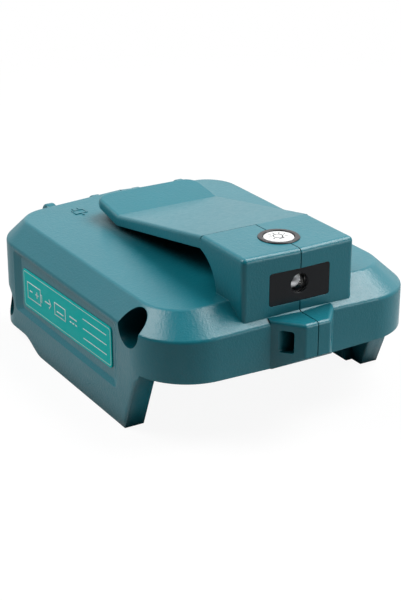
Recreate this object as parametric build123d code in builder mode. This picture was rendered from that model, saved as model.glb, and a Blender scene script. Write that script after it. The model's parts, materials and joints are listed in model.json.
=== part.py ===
from build123d import *
import os
from math import cos, radians, sin, tan

os.makedirs("parts", exist_ok=True)

# Power tool USB battery adapter, in millimetres.
# X runs across the adapter (the two half shells meet at x = 0), Y from the lamp end to the socket end,
# and Z up from the rail feet. The origin is the middle of the footprint, on the surface it stands on.

# Whole body
length = 107.4
width = 79.0
block_top = 46.6
roof_peak = 34.8
wall_peak = 29.6
draft_angle = 2.3
front_corner_radius = 16.3
back_corner_radius = 13.7
front_roof_radius = 11.0
back_roof_radius = 8.3
side_shoulder_run = 5.4
front_shoulder_run = 8.0
shoulder_round = 1.1
roof_round = 1.4
wall = 2.2
front_wall = 2.4
back_wall = 6.1
seam_groove_width = 0.12
seam_groove_depth = 0.3

# Lug on the front wall, with the lanyard slot
lug_reach = 6.5
lug_nose_width = 7.4
lug_base_width = 18.8
lug_top = 30.3
lug_nose_bottom = 21.4
lug_round = 1.0
slot_setback = 2.25
slot_depth = 3.0
slot_bottom = 22.2
slot_height = 5.8
slot_round = 0.6

# Underside: rails, open battery bay and raised tail
bay_ceiling = 17.3
floor_thickness = 2.0
bay_width = 68.2
bay_round = 1.0
bay_back_gap = 17.6
end_wall = 2.2
foot_setback = 20.3
foot_lean = 21.8
lip_reach = 2.8
lip_height = 3.2
lip_setback = 3.9
lip_chamfer = 0.8
tail_lift = 3.3
tail_ramp_setback = 32.6
tail_ramp_length = 12.0
tail_floor = 2.2
tail_wall = 4.6
tail_corner_radius = 6.0
ramp_overlap = 0.05

# Light block
block_width = 32.8
block_setback = 1.7
block_length = 20.5
block_round = 1.3
block_wall = 2.0
block_front_wall = 2.6
block_roof = 2.3
arch_radius = 11.0
arch_setback = 3.1
arch_wall = 1.8
arch_middle_angle = 30.0

# Belt clip
clip_thickness = 3.25
clip_back_gap = 20.7
clip_bend_gap = 3.7
clip_bend_thickness = 2.9
clip_tail_run = 13.8
clip_tail_rise = 2.05
clip_tail_thickness = 2.0
clip_corner_radius = 4.6
clip_round = 1.0
clip_tooth_setback = 1.6
clip_tooth_end_gap = 1.4
clip_tooth_radius = 0.55

# Label recess and label
recess_front_gap = 3.9
recess_back_gap = 16.1
recess_height = 17.8
recess_depth = 0.9
recess_round = 1.2
recess_centre_z = 18.2
recess_front_ramp = 2.2
recess_back_ramp = 3.4
recess_top_ramp = 0.7
recess_bottom_ramp = 1.3
recess_overcut = 0.3
label_front_gap = 3.7
label_back_gap = 4.7
label_height = 11.2
label_thickness = 0.25
label_round = 1.2
label_tilt = 1.5

# Case screws: counterbored from the left, one high in front and one low behind
screw_head_radius = 2.75
screw_head_height = 2.1
screw_shank_radius = 1.45
screw_length = 16.0
screw_seat = 10.0
screw_clearance = 0.25
pilot_clearance = 0.05
counterbore_radius = 4.7
boss_wall = 1.5
thin_boss_wall = 1.4
seat_thickness = 2.2
screw_head_round = 0.6
screw_tip_chamfer = 0.5
drive_width = 0.8
drive_reach = 3.0
drive_depth = 1.2
front_screw_y = -1.95
front_screw_z = 27.9
back_screw_setback = 10.1
back_screw_z = 9.8

# Lamp: window, reflector, lens and chip
panel_width = 17.7
panel_height = 8.5
panel_thickness = 1.0
panel_drop = 9.3
panel_round = 0.8
panel_clearance = 0.08
panel_hole_radius = 2.6
lamp_drop = 9.0
lens_radius = 2.45
lens_clearance = 0.05
lens_barrel = 2.0
lens_tip_setback = 0.25
reflector_wall = 0.25
reflector_body = 3.4
dish_depth = 1.6
dish_floor_radius = 1.0
dish_mouth_radius = 2.2
chip_size = 1.2
chip_height = 0.3
lead_radius = 0.25
lead_spacing = 2.54
lead_run = 1.4
lead_bend = 0.7
lead_cover = 0.5

# Button, its switch and the lamp board
button_setback = 9.9
bezel_radius = 5.3
bezel_flange = 0.85
bezel_stem_gap = 0.45
bezel_proud = 0.3
cap_radius = 3.95
cap_clearance = 0.08
cap_proud = 0.15
cap_flange_radius = 4.7
cap_flange_height = 0.4
cap_stop_gap = 0.05
cap_round = 0.35
button_travel = 0.35
lamp_board_thickness = 1.0
lamp_board_width = 27.8
lamp_board_gap = 0.05
lamp_board_front_gap = 0.4
lamp_board_depth = 10.1
switch_size = 6.0
switch_height = 1.8
plunger_radius = 1.5
plunger_clearance = 0.08
plunger_depth = 0.9
plunger_end_gap = 0.05
bezel_round = 0.25
slot_rib_depth = 2.0
slot_rib_height = 1.0

# USB sockets and their covers
port_spacing = 28.5
port_z = 23.2
shell_width = 13.1
shell_height = 5.7
shell_wall = 0.3
shell_length = 13.6
port_clearance = 0.3
tongue_width = 11.1
tongue_thickness = 1.84
tongue_setback = 1.9
tongue_base = 3.0
tongue_rise = 1.0
shell_ear_width = 1.2
shell_ear_length = 3.0
shell_notch_gap = 0.2
contact_count = 4
contact_pitch = 2.3
contact_width = 1.0
contact_thickness = 0.2
contact_length = 7.0
contact_tail = 1.2
contact_foot = 0.8
cover_width = 17.0
cover_thickness = 1.6
cover_bottom_drop = 5.8
cover_clearance = 0.3
cover_face_setback = 0.6
cover_top_rise = 4.3
cover_plug_width = 11.6
cover_plug_height = 4.4
cover_plug_depth = 1.2
cover_round = 1.2
cover_neck_corner = 1.8
cover_neck_inner = 0.9
hinge_setback = 3.6
hinge_z = 30.9
barrel_radius = 1.5
barrel_width = 11.3
barrel_clearance = 0.35
trunnion_radius = 0.8
trunnion_length = 1.6
trunnion_clearance = 0.08
trunnion_end_gap = 0.15
knuckle_radius = 2.8
knuckle_width = 3.0
knuckle_round = 0.7

# Main board and its parts
board_thickness = 1.6
board_gap = 2.0
board_half_width = 27.3
board_side_gap = 0.2
board_front_gap = 1.2
board_back_gap = 8.1
rail_width = 2.5
rail_lap = 1.7
rail_height = 5.3
rail_end_gap = 2.0
inductor_radius = 5.5
inductor_height = 6.0
inductor_core_radius = 2.6
inductor_flange = 1.0
inductor_winding_radius = 4.8
inductor_x = -12.0
inductor_step = 22.0
capacitor_radius = 4.0
capacitor_height = 8.2
capacitor_x = 9.0
capacitor_pitch = 10.0
capacitor_step = 12.0
capacitor_count = 2
capacitor_round = 0.5
chip_length = 5.0
chip_width = 4.0
chip_thickness = 1.6
chip_count = 3
chip_pitch = 12.0
chip_step = 36.0
wire_radius = 0.6
wire_bend = 2.5
wire_spacing = 10.0
wire_step = 6.4
wire_end_setback = 9.3
wire_roof_gap = 0.15

# Battery terminals
terminal_width = 41.0
terminal_depth = 10.0
terminal_bottom = 6.3
terminal_neck_width = 36.0
terminal_neck_depth = 5.0
terminal_flange = 1.5
terminal_flange_height = 1.2
terminal_round = 0.8
blade_spacing = 27.0
blade_thickness = 0.8
blade_bottom = 8.0
blade_height = 7.0
blade_reach = 15.0
blade_tip_chamfer = 1.2
tail_width = 3.0
tail_clearance = 0.1
tail_over_board = 1.2
tail_setback = 3.0
signal_spacing = 2.6
signal_thickness = 0.5
signal_bottom = 9.5
signal_height = 3.0
signal_reach = 9.0
signal_tail_width = 1.6
signal_count = 3

# Places that follow from the sizes above
half_width = width / 2
front_y = -length / 2 + lug_reach
nose_y = -length / 2
back_y = length / 2
foot_y = front_y + foot_setback
block_front_y = front_y + block_setback
crease_y = block_front_y + block_length
clip_end_y = back_y - clip_back_gap
clip_bend_y = clip_end_y - clip_tail_run
clip_bend_z = roof_peak + clip_bend_gap
panel_centre_z = block_top - panel_drop
lamp_z = block_top - lamp_drop
half_bay = bay_width / 2
half_block = block_width / 2
floor_top = bay_ceiling + floor_thickness
bay_end_y = back_y - bay_back_gap
inner_end_y = bay_end_y + end_wall
port_x = port_spacing / 2
cover_face_y = back_y - cover_face_setback
cover_inner_y = cover_face_y - cover_thickness
port_face_y = cover_inner_y - cover_clearance
shell_back_y = port_face_y - shell_length
hinge_y = back_y - hinge_setback
board_bottom = floor_top + board_gap
board_top = board_bottom + board_thickness
front_bore_y = foot_y + front_screw_y
back_bore_y = back_y - back_screw_setback
recess_front_y = foot_y + recess_front_gap
recess_back_y = back_y - recess_back_gap
label_front_y = recess_front_y + label_front_gap
label_back_y = recess_back_y - label_back_gap
draft = tan(radians(draft_angle))
roof_inner = roof_peak - wall
inner_peak = wall_peak - wall / 2
block_inner_top = block_top - block_roof
block_inner_y = block_front_y + block_front_wall
arch_y = crease_y + arch_setback
clip_root_z = block_top - clip_thickness
arch_z = clip_root_z - (arch_radius**2 - arch_setback**2) ** 0.5
arch_middle = radians(arch_middle_angle)
half_lamp_board = lamp_board_width / 2
reflector_radius = lens_radius + lens_clearance + reflector_wall
lamp_board_bottom = lamp_z + reflector_radius + lamp_board_gap
lamp_board_top = lamp_board_bottom + lamp_board_thickness
button_y = block_front_y + button_setback
half_port_gap = barrel_width / 2 + cover_clearance
board_front_y = front_bore_y + counterbore_radius + boss_wall + board_front_gap
board_back_y = back_y - board_back_gap
lamp_board_front_y = block_inner_y + lamp_board_front_gap
lamp_board_back_y = lamp_board_front_y + lamp_board_depth
panel_front_y = block_front_y + panel_width / 2 * draft
panel_seat_y = panel_front_y + panel_thickness
cap_bottom = block_inner_top - cap_stop_gap - cap_flange_height
cover_bottom = port_z - cover_bottom_drop
cover_top = port_z + cover_top_rise
thin_boss_radius = screw_shank_radius + thin_boss_wall
rail_inner_x = board_half_width + board_side_gap - rail_lap
terminal_y = bay_end_y - terminal_depth / 2


def half_plan(half_x, front, back, front_radius, back_radius):
    """Right half of a plan outline. The front and back lines fall away from the seam by the draft."""
    with BuildSketch(mode=Mode.PRIVATE) as plan:
        with BuildLine():
            FilletPolyline(
                (0, front),
                (half_x, front + half_x * draft),
                (half_x, back - half_x * draft),
                (0, back),
                radius=[front_radius, back_radius],
            )
            Line((0, back), (0, front))
        make_face()
    return plan.sketch


def roof_plane(height):
    """Plane that passes the seam at this height and falls to the right by the draft."""
    angle = radians(draft_angle)
    across = (cos(angle), 0, -sin(angle))
    upwards = (sin(angle), 0, cos(angle))
    return Plane(origin=(0, 0, height), x_dir=across, z_dir=upwards)


def side_prism(points, half_x):
    """Solid of one side profile, given as (y, z) points, drawn across the whole width."""
    with BuildPart(mode=Mode.PRIVATE) as prism:
        with BuildSketch(Plane.YZ):
            with BuildLine():
                Polyline(*points, close=True)
            make_face()
        extrude(amount=half_x, both=True)
    return prism.part


def span(x0, x1, y0, y1, z0, z1):
    """Box between two corners."""
    middle = Pos((x0 + x1) / 2, (y0 + y1) / 2, (z0 + z1) / 2)
    return middle * Box(abs(x1 - x0), abs(y1 - y0), abs(z1 - z0), mode=Mode.PRIVATE)


def cross_rod(radius, x0, x1, y, z):
    """Round bar along X between two stations."""
    return Pos((x0 + x1) / 2, y, z) * Rot(0, 90, 0) * Cylinder(radius, abs(x1 - x0), mode=Mode.PRIVATE)


def strand(points, radius, bend):
    """Round wire along a path with bent corners."""
    with BuildPart(mode=Mode.PRIVATE) as wire:
        with BuildLine() as path:
            FilletPolyline(*points, radius=bend)
        with BuildSketch(Plane(origin=points[0], z_dir=path.line % 0)):
            Circle(radius)
        sweep(path=path.line)
    return wire.part


# Outer shape of the right half: walls, sloped shoulder band and roof
wall_plan = half_plan(half_width, front_y, back_y, front_corner_radius, back_corner_radius)
roof_plan = half_plan(
    half_width - side_shoulder_run,
    front_y + front_shoulder_run,
    back_y - side_shoulder_run,
    front_roof_radius,
    back_roof_radius,
)
with BuildPart() as body_half:
    with BuildSketch(Plane.XY):
        add(wall_plan)
    with BuildSketch(roof_plane(wall_peak)):
        add(wall_plan)
    with BuildSketch(roof_plane(roof_peak)):
        add(roof_plan)
    loft(ruled=True)
    roof_edges = body_half.faces().sort_by(Axis.Z)[-1].edges().sort_by(Axis.X)[1:]
    fillet(roof_edges, radius=roof_round)
    wall_edges = body_half.edges().filter_by(
        lambda edge: abs(edge.center().Z - wall_peak + edge.center().X * draft) < shoulder_round / 2
        and edge.center().X > seam_groove_width
    )
    fillet(wall_edges, radius=shoulder_round)

# Lug on the front wall: flared in plan, with an underside that slopes up to its nose
with BuildPart() as lug_half:
    with BuildSketch(Plane.XY.offset(bay_ceiling)):
        with BuildLine():
            Polyline(
                (0, nose_y),
                (lug_nose_width / 2, nose_y),
                (lug_base_width / 2, front_y + lug_base_width / 2 * draft),
                (lug_base_width / 2, front_y + front_wall),
                (0, front_y + front_wall),
                close=True,
            )
        make_face()
    extrude(amount=lug_top - bay_ceiling)
    nose_side = lug_half.edges().filter_by(Axis.Z).sort_by(Axis.Y)[:2].sort_by(Axis.X)[-1]
    fillet(nose_side, radius=lug_round)
    nose_rim = lug_half.faces().sort_by(Axis.Z)[-1].edges().sort_by(Axis.Y)[:2]
    fillet(nose_rim, radius=lug_round)
    underside = side_prism(
        [
            (front_y, bay_ceiling),
            (nose_y, lug_nose_bottom),
            (nose_y - lug_round, lug_nose_bottom),
            (nose_y - lug_round, bay_ceiling - lug_round),
            (front_y, bay_ceiling - lug_round),
        ],
        lug_base_width,
    )
    add(underside, mode=Mode.SUBTRACT)

# Light block: bowed front, flat top, and a hollow arch behind it under the clip
with BuildPart() as block_half:
    with BuildSketch(Plane.XY.offset(bay_ceiling + floor_thickness)):
        with BuildLine():
            Polyline(
                (0, block_front_y),
                (half_block, block_front_y + half_block * draft),
                (half_block, crease_y),
                (0, crease_y),
                close=True,
            )
        make_face()
    extrude(amount=block_top - bay_ceiling - floor_thickness)
    block_corner = block_half.edges().filter_by(Axis.Z).sort_by(Axis.X)[-2:].sort_by(Axis.Y)[0]
    fillet(block_corner, radius=block_round)
    rim = block_half.faces().sort_by(Axis.Z)[-1].edges()
    block_rim = rim.filter_by(lambda edge: edge.center().X > 0 and edge.center().Y < crease_y - block_round)
    fillet(block_rim, radius=block_round)
    with BuildSketch(Plane.YZ):
        with BuildLine():
            ThreePointArc(
                (crease_y, clip_root_z),
                (arch_y - arch_radius * cos(arch_middle), arch_z + arch_radius * sin(arch_middle)),
                (arch_y - arch_radius, arch_z),
            )
            Polyline(
                (arch_y - arch_radius, arch_z),
                (arch_y - arch_radius, floor_top - wall),
                (crease_y + wall, floor_top - wall),
                (crease_y + wall, clip_root_z),
                (crease_y, clip_root_z),
            )
        make_face()
    extrude(amount=half_width, both=True, mode=Mode.SUBTRACT)

with BuildPart() as outer_half:
    add(body_half)
    add(lug_half)
    add(block_half)

# Fine groove along the visible seam: everything near x = 0 that lies outside this core is cut away
with BuildPart() as seam_groove:
    with BuildSketch(Plane.YZ):
        Rectangle(2 * length, 2 * length)
        with BuildLine():
            Polyline(
                (nose_y - wall, -length),
                (nose_y - wall, lug_nose_bottom),
                (nose_y + seam_groove_depth, lug_nose_bottom),
                (nose_y + seam_groove_depth, lug_top - lug_round),
                (nose_y + lug_round, lug_top - seam_groove_depth),
                (block_front_y + seam_groove_depth, lug_top - seam_groove_depth),
                (block_front_y + seam_groove_depth, block_top - block_round),
                (block_front_y + block_round, block_top - seam_groove_depth),
                (crease_y + block_round, block_top - seam_groove_depth),
                (crease_y + block_round, roof_peak - seam_groove_depth),
                (back_y - side_shoulder_run, roof_peak - seam_groove_depth),
                (back_y - seam_groove_depth, wall_peak - seam_groove_depth),
                (back_y - seam_groove_depth, -length),
                close=True,
            )
        make_face(mode=Mode.SUBTRACT)
    extrude(amount=seam_groove_width)

# Hollow inside of the right half, with the same shoulder slopes as outside
inner_rise = roof_inner - inner_peak
shoulder_rise = roof_peak - wall_peak
inner_plan = half_plan(
    half_width - wall,
    front_y + front_wall,
    back_y - back_wall,
    front_corner_radius - wall,
    back_corner_radius - wall,
)
inner_roof_plan = half_plan(
    half_width - wall - inner_rise * side_shoulder_run / shoulder_rise,
    front_y + front_wall + inner_rise * front_shoulder_run / shoulder_rise,
    back_y - back_wall - inner_rise * side_shoulder_run / shoulder_rise,
    front_roof_radius,
    back_roof_radius,
)
with BuildPart() as hollow_half:
    with BuildSketch(Plane.XY.offset(floor_top)):
        add(inner_plan)
    with BuildSketch(roof_plane(inner_peak)):
        add(inner_plan)
    with BuildSketch(roof_plane(roof_inner)):
        add(inner_roof_plan)
    loft(ruled=True)

# Hollow of the light block, open to the body below it
with BuildPart() as block_hollow:
    with BuildSketch(Plane.YZ):
        with BuildLine():
            inner_arch = arch_radius + arch_wall
            arch_top_y = arch_y - (inner_arch**2 - (block_inner_top - arch_z) ** 2) ** 0.5
            ThreePointArc(
                (arch_top_y, block_inner_top),
                (arch_y - inner_arch * cos(arch_middle), arch_z + inner_arch * sin(arch_middle)),
                (arch_y - inner_arch, arch_z),
            )
            Polyline(
                (arch_y - inner_arch, arch_z),
                (arch_y - inner_arch, roof_inner - wall),
                (block_inner_y, roof_inner - wall),
                (block_inner_y, block_inner_top),
                (arch_top_y, block_inner_top),
            )
        make_face()
    extrude(amount=half_block - block_wall)

# Hollow behind the battery bay
with BuildPart() as tail_hollow:
    with BuildSketch(Plane.XY.offset(tail_lift + tail_floor)):
        add(half_plan(half_bay, inner_end_y, back_y - tail_wall, 0, tail_corner_radius))
    extrude(amount=floor_top - tail_lift - tail_floor)

# Shape of the raised tail, taken away from the rail bottoms
tail_y = back_y - tail_ramp_setback
with BuildPart() as tail_cut:
    with BuildSketch(Plane.YZ):
        with BuildLine():
            Spline(
                (tail_y, -ramp_overlap),
                (tail_y + tail_ramp_length, tail_lift),
                tangents=[(1, 0), (1, 0)],
            )
            Polyline(
                (tail_y + tail_ramp_length, tail_lift),
                (back_y + wall, tail_lift),
                (back_y + wall, -wall),
                (tail_y, -wall),
                (tail_y, -ramp_overlap),
            )
        make_face()
    extrude(amount=width, both=True)

# Rail lip along the bottom of the bay, chamfered for the battery's rail
with BuildPart() as lip:
    with BuildSketch(Plane.XZ.offset(-foot_y - lip_setback)):
        with BuildLine():
            Polyline(
                (half_bay + wall, 0),
                (half_bay - lip_reach + lip_chamfer, 0),
                (half_bay - lip_reach, lip_chamfer),
                (half_bay - lip_reach, lip_height),
                (half_bay + wall, lip_height),
                close=True,
            )
        make_face()
    extrude(amount=foot_y + lip_setback - bay_end_y)

# Hinge knuckles and cover pocket around one socket
with BuildPart() as knuckles:
    for side in (-1, 1):
        inner_x = port_x + side * half_port_gap
        add(cross_rod(knuckle_radius, inner_x, inner_x + side * knuckle_width, hinge_y, hinge_z))
    fillet(knuckles.edges().filter_by(GeomType.CIRCLE), radius=knuckle_round)

with BuildPart() as port_cut:
    pocket_half = cover_width / 2 + cover_clearance
    add(span(
        port_x - pocket_half,
        port_x + pocket_half,
        port_face_y,
        back_y + wall,
        cover_bottom - cover_clearance,
        roof_peak + wall,
    ))
    opening_half = shell_width / 2 + port_clearance
    opening_rise = shell_height / 2 + port_clearance
    add(span(
        port_x - opening_half,
        port_x + opening_half,
        back_y - back_wall - wall,
        back_y,
        port_z - opening_rise,
        port_z + opening_rise,
    ))

with BuildPart() as hinge_cut:
    barrel_room = barrel_radius + barrel_clearance
    add(span(
        port_x - half_port_gap,
        port_x + half_port_gap,
        hinge_y - barrel_room,
        back_y + wall,
        hinge_z,
        roof_peak + wall,
    ))
    add(cross_rod(barrel_room, port_x - half_port_gap, port_x + half_port_gap, hinge_y, hinge_z))
    pin_half = half_port_gap + trunnion_length
    pin_room = trunnion_radius + trunnion_clearance
    add(cross_rod(pin_room, port_x - pin_half, port_x + pin_half, hinge_y, hinge_z))

# Space for the battery between the rails, rounded where the rails meet the ceiling
with BuildPart() as bay_room:
    add(span(-wall, half_bay, nose_y - wall, bay_end_y, -wall, bay_ceiling))
    fillet(bay_room.edges().filter_by(Axis.Y).sort_by(Axis.X)[-2:].sort_by(Axis.Z)[-1], radius=bay_round)

# Shallow label recess in the side wall, with ramps on all four sides
recess_bottom_z = recess_centre_z - recess_height / 2
recess_top_z = recess_centre_z + recess_height / 2
with BuildPart() as label_recess:
    for ramp_share, recess_x in (
        (1.0, half_width - recess_depth),
        (-recess_overcut / recess_depth, half_width + recess_overcut),
    ):
        floor_front_y = recess_front_y + recess_front_ramp * ramp_share
        floor_back_y = recess_back_y - recess_back_ramp * ramp_share
        floor_bottom_z = recess_bottom_z + recess_bottom_ramp * ramp_share
        floor_top_z = recess_top_z - recess_top_ramp * ramp_share
        with BuildSketch(Plane.YZ.offset(recess_x)):
            with Locations(((floor_front_y + floor_back_y) / 2, (floor_bottom_z + floor_top_z) / 2)):
                RectangleRounded(floor_back_y - floor_front_y, floor_top_z - floor_bottom_z, recess_round)
    loft(ruled=True)

# Everything that both halves share, drawn for the right one
with BuildPart() as shell_half:
    add(outer_half)
    add(hollow_half, mode=Mode.SUBTRACT)
    add(block_hollow, mode=Mode.SUBTRACT)
    add(tail_hollow, mode=Mode.SUBTRACT)
    add(seam_groove, mode=Mode.SUBTRACT)
    lean = tan(radians(foot_lean))
    add(side_prism(
        [
            (nose_y - wall, -wall),
            (foot_y + wall * lean, -wall),
            (foot_y - bay_ceiling * lean, bay_ceiling),
            (nose_y - wall, bay_ceiling),
        ],
        width,
    ), mode=Mode.SUBTRACT)
    add(bay_room, mode=Mode.SUBTRACT)
    add(lip)
    add(tail_cut, mode=Mode.SUBTRACT)
    add(port_cut, mode=Mode.SUBTRACT)
    add(knuckles)
    add(hinge_cut, mode=Mode.SUBTRACT)
    add(label_recess, mode=Mode.SUBTRACT)
    # lanyard slot through the lug
    with BuildSketch(Plane.YZ):
        with Locations((nose_y + slot_setback + slot_depth / 2, slot_bottom + slot_height / 2)):
            RectangleRounded(slot_depth, slot_height, slot_round)
    extrude(amount=lug_base_width, both=True, mode=Mode.SUBTRACT)
    # window pocket and reflector hole in the front of the light block
    pocket_width = panel_width + 2 * panel_clearance
    pocket_height = panel_height + 2 * panel_clearance
    with BuildSketch(Plane.XZ.offset(-panel_seat_y)):
        with Locations((0, panel_centre_z)):
            RectangleRounded(pocket_width, pocket_height, panel_round)
    extrude(amount=panel_thickness + block_front_wall, mode=Mode.SUBTRACT)
    with BuildSketch(Plane.XZ.offset(-block_inner_y)):
        with Locations((0, lamp_z)):
            Circle(reflector_radius)
    extrude(amount=block_front_wall, mode=Mode.SUBTRACT)
    # stepped hole for the button's ring
    with Locations((0, button_y, block_top)):
        CounterBoreHole(bezel_radius - bezel_stem_gap, bezel_radius, bezel_flange - bezel_proud, block_roof)
    # slotted rail that holds the main board's edge
    add(span(
        rail_inner_x,
        rail_inner_x + rail_width,
        board_front_y + rail_end_gap,
        bay_end_y - rail_end_gap,
        floor_top,
        floor_top + rail_height,
    ))
    board_room = span(
        0,
        board_half_width + board_side_gap,
        board_front_y,
        bay_end_y,
        board_bottom,
        board_top,
    )
    add(board_room, mode=Mode.SUBTRACT)
    # ribs that hold the lamp board's edge
    for rib_z in (lamp_board_bottom - slot_rib_height, lamp_board_top):
        add(span(
            half_block - block_wall - slot_rib_depth,
            half_block - block_wall,
            lamp_board_front_y,
            arch_y - inner_arch,
            rib_z,
            rib_z + slot_rib_height,
        ))
    # opening in the bay ceiling for the terminal block's neck
    neck_room = span(
        -wall,
        terminal_neck_width / 2,
        terminal_y - terminal_neck_depth / 2,
        terminal_y + terminal_neck_depth / 2,
        bay_ceiling - wall,
        floor_top + wall,
    )
    add(neck_room, mode=Mode.SUBTRACT)

# Belt clip arm: falls towards the sockets, then kicks up at its tail
with BuildPart() as clip:
    tail_z = clip_bend_z + clip_tail_rise
    add(side_prism(
        [
            (crease_y, block_top),
            (clip_bend_y, clip_bend_z),
            (clip_end_y, tail_z),
            (clip_end_y, tail_z - clip_tail_thickness),
            (clip_bend_y, clip_bend_z - clip_bend_thickness),
            (crease_y, clip_root_z),
        ],
        half_block,
    ))
    fillet(clip.edges().filter_by(Axis.Z).group_by(Axis.Y)[-1], radius=clip_corner_radius)
    clip_rim = clip.faces().filter_by(lambda face: face.normal_at().Z > 0.5).edges()
    outer_rim = clip_rim.filter_by(
        lambda edge: abs(edge.center().X) > half_block / 2 or edge.center().Y > clip_end_y - clip_round
    )
    fillet(outer_rim, radius=clip_round)
    clip_fall = (clip_root_z - clip_bend_z + clip_bend_thickness) / (clip_bend_y - crease_y)
    tooth_z = clip_bend_z - clip_bend_thickness + clip_tooth_setback * clip_fall
    tooth_half = half_block - clip_tooth_end_gap
    add(cross_rod(clip_tooth_radius, -tooth_half, tooth_half, clip_bend_y - clip_tooth_setback, tooth_z))

# Right half shell with the clip arm and blind screw bosses
screw_places = ((front_bore_y, front_screw_z), (back_bore_y, back_screw_z))
pilot_depth = screw_length - screw_seat + wall
with BuildPart() as right_bosses:
    for bore_y, bore_z in screw_places:
        add(cross_rod(thin_boss_radius, 0, half_width, bore_y, bore_z))
    add(outer_half, mode=Mode.INTERSECT)
    for bore_y, bore_z in screw_places:
        pilot = cross_rod(screw_shank_radius + pilot_clearance, -wall, pilot_depth, bore_y, bore_z)
        add(pilot, mode=Mode.SUBTRACT)

with BuildPart() as housing_right:
    add(shell_half)
    add(right_bosses)
    add(clip)
housing_right.part.label = "housing_right"
export_step(housing_right.part, "parts/housing_right.step")

# Left half shell with the screw counterbores, drawn on the right and then mirrored
with BuildPart() as left_bosses:
    for bore_y, bore_z in screw_places:
        seat_start = screw_seat - seat_thickness
        add(cross_rod(counterbore_radius + boss_wall, seat_start, half_width, bore_y, bore_z))
        add(cross_rod(thin_boss_radius, 0, screw_seat, bore_y, bore_z))
    add(outer_half, mode=Mode.INTERSECT)

with BuildPart() as left_half:
    add(shell_half)
    add(left_bosses)
    for bore_y, bore_z in screw_places:
        counterbore = cross_rod(counterbore_radius, screw_seat, half_width + wall, bore_y, bore_z)
        add(counterbore, mode=Mode.SUBTRACT)
        shank_room = screw_shank_radius + screw_clearance
        add(cross_rod(shank_room, -wall, screw_seat + wall, bore_y, bore_z), mode=Mode.SUBTRACT)
    crease_groove = span(
        0,
        half_block,
        crease_y - seam_groove_width,
        crease_y + seam_groove_width,
        block_top - seam_groove_depth,
        block_top + wall,
    )
    add(crease_groove, mode=Mode.SUBTRACT)

with BuildPart() as housing_left:
    add(mirror(left_half.part, about=Plane.YZ))
housing_left.part.label = "housing_left"
export_step(housing_left.part, "parts/housing_left.step")

# Label on the left side wall
with BuildPart() as rating_label:
    with BuildSketch(Plane.YZ.offset(recess_depth - half_width)):
        with Locations(((label_front_y + label_back_y) / 2, recess_centre_z)):
            label_length = label_back_y - label_front_y
            RectangleRounded(label_length, label_height, label_round, rotation=-label_tilt)
    extrude(amount=-label_thickness)
rating_label.part.label = "rating_label"
export_step(rating_label.part, "parts/rating_label.step")

# Case screws: pan head with a cross recess
with BuildPart() as screw:
    Cylinder(screw_head_radius, screw_head_height, align=(Align.CENTER, Align.CENTER, Align.MAX))
    fillet(screw.edges().sort_by(Axis.Z)[0], radius=screw_head_round)
    Cylinder(screw_shank_radius, screw_length, align=(Align.CENTER, Align.CENTER, Align.MIN))
    chamfer(screw.edges().sort_by(Axis.Z)[-1], length=screw_tip_chamfer)
    with Locations((0, 0, -screw_head_height)):
        Box(drive_width, drive_reach, 2 * drive_depth, mode=Mode.SUBTRACT)
        Box(drive_reach, drive_width, 2 * drive_depth, mode=Mode.SUBTRACT)

with BuildPart() as case_screws:
    for bore_y, bore_z in screw_places:
        add(Pos(-screw_seat, bore_y, bore_z) * Rot(0, 90, 0) * screw.part)
case_screws.part.label = "case_screws"
export_step(case_screws.part, "parts/case_screws.step")

# Window plate in front of the lamp
with BuildPart() as light_panel:
    with BuildSketch(Plane.XZ.offset(-panel_seat_y)):
        with Locations((0, panel_centre_z)):
            RectangleRounded(panel_width, panel_height, panel_round - panel_clearance)
        with Locations((0, lamp_z)):
            Circle(panel_hole_radius, mode=Mode.SUBTRACT)
    extrude(amount=panel_thickness)
light_panel.part.label = "light_panel"
export_step(light_panel.part, "parts/light_panel.step")

# Lamp: domed lens, chip and wire leads in a bright cup
lamp_axis = Axis((0, 0, lamp_z), (0, 1, 0))
lens_tip_y = block_front_y + lens_tip_setback
lens_y = lens_tip_y + lens_radius
lens_back_y = lens_y + lens_barrel
dish_floor_y = lens_back_y + dish_depth
reflector_back_y = lens_back_y + reflector_body
lens_rim_z = lamp_z + lens_radius
with BuildPart() as led_lens:
    with BuildSketch(Plane.YZ):
        with BuildLine():
            RadiusArc((lens_tip_y, lamp_z), (lens_y, lens_rim_z), lens_radius)
            Polyline(
                (lens_y, lens_rim_z),
                (lens_back_y, lens_rim_z),
                (lens_back_y, lamp_z),
                (lens_tip_y, lamp_z),
            )
        make_face()
    revolve(axis=lamp_axis)
led_lens.part.label = "led_lens"
export_step(led_lens.part, "parts/led_lens.step")

with BuildPart() as led_leads:
    for lead_x in (-lead_spacing / 2, lead_spacing / 2):
        lead_points = [
            (lead_x, dish_floor_y + lead_cover, lamp_z),
            (lead_x, reflector_back_y + lead_run, lamp_z),
            (lead_x, reflector_back_y + lead_run, lamp_board_bottom),
        ]
        add(strand(lead_points, lead_radius, lead_bend))
led_leads.part.label = "led_leads"
export_step(led_leads.part, "parts/led_leads.step")

with BuildPart() as led_reflector:
    with BuildSketch(Plane.YZ):
        with BuildLine():
            Polyline(
                (panel_seat_y, lamp_z + reflector_radius - reflector_wall),
                (panel_seat_y, lamp_z + reflector_radius),
                (reflector_back_y, lamp_z + reflector_radius),
                (reflector_back_y, lamp_z),
                (dish_floor_y, lamp_z),
                (dish_floor_y, lamp_z + dish_floor_radius),
                (lens_back_y, lamp_z + dish_mouth_radius),
                (lens_back_y, lamp_z + reflector_radius - reflector_wall),
                close=True,
            )
        make_face()
    revolve(axis=lamp_axis)
    add(led_leads, mode=Mode.SUBTRACT)
led_reflector.part.label = "led_reflector"
export_step(led_reflector.part, "parts/led_reflector.step")

with BuildPart() as led_chip:
    with Locations((0, dish_floor_y - chip_height / 2, lamp_z)):
        Box(chip_size, chip_height, chip_size)
led_chip.part.label = "led_chip"
export_step(led_chip.part, "parts/led_chip.step")

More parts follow.
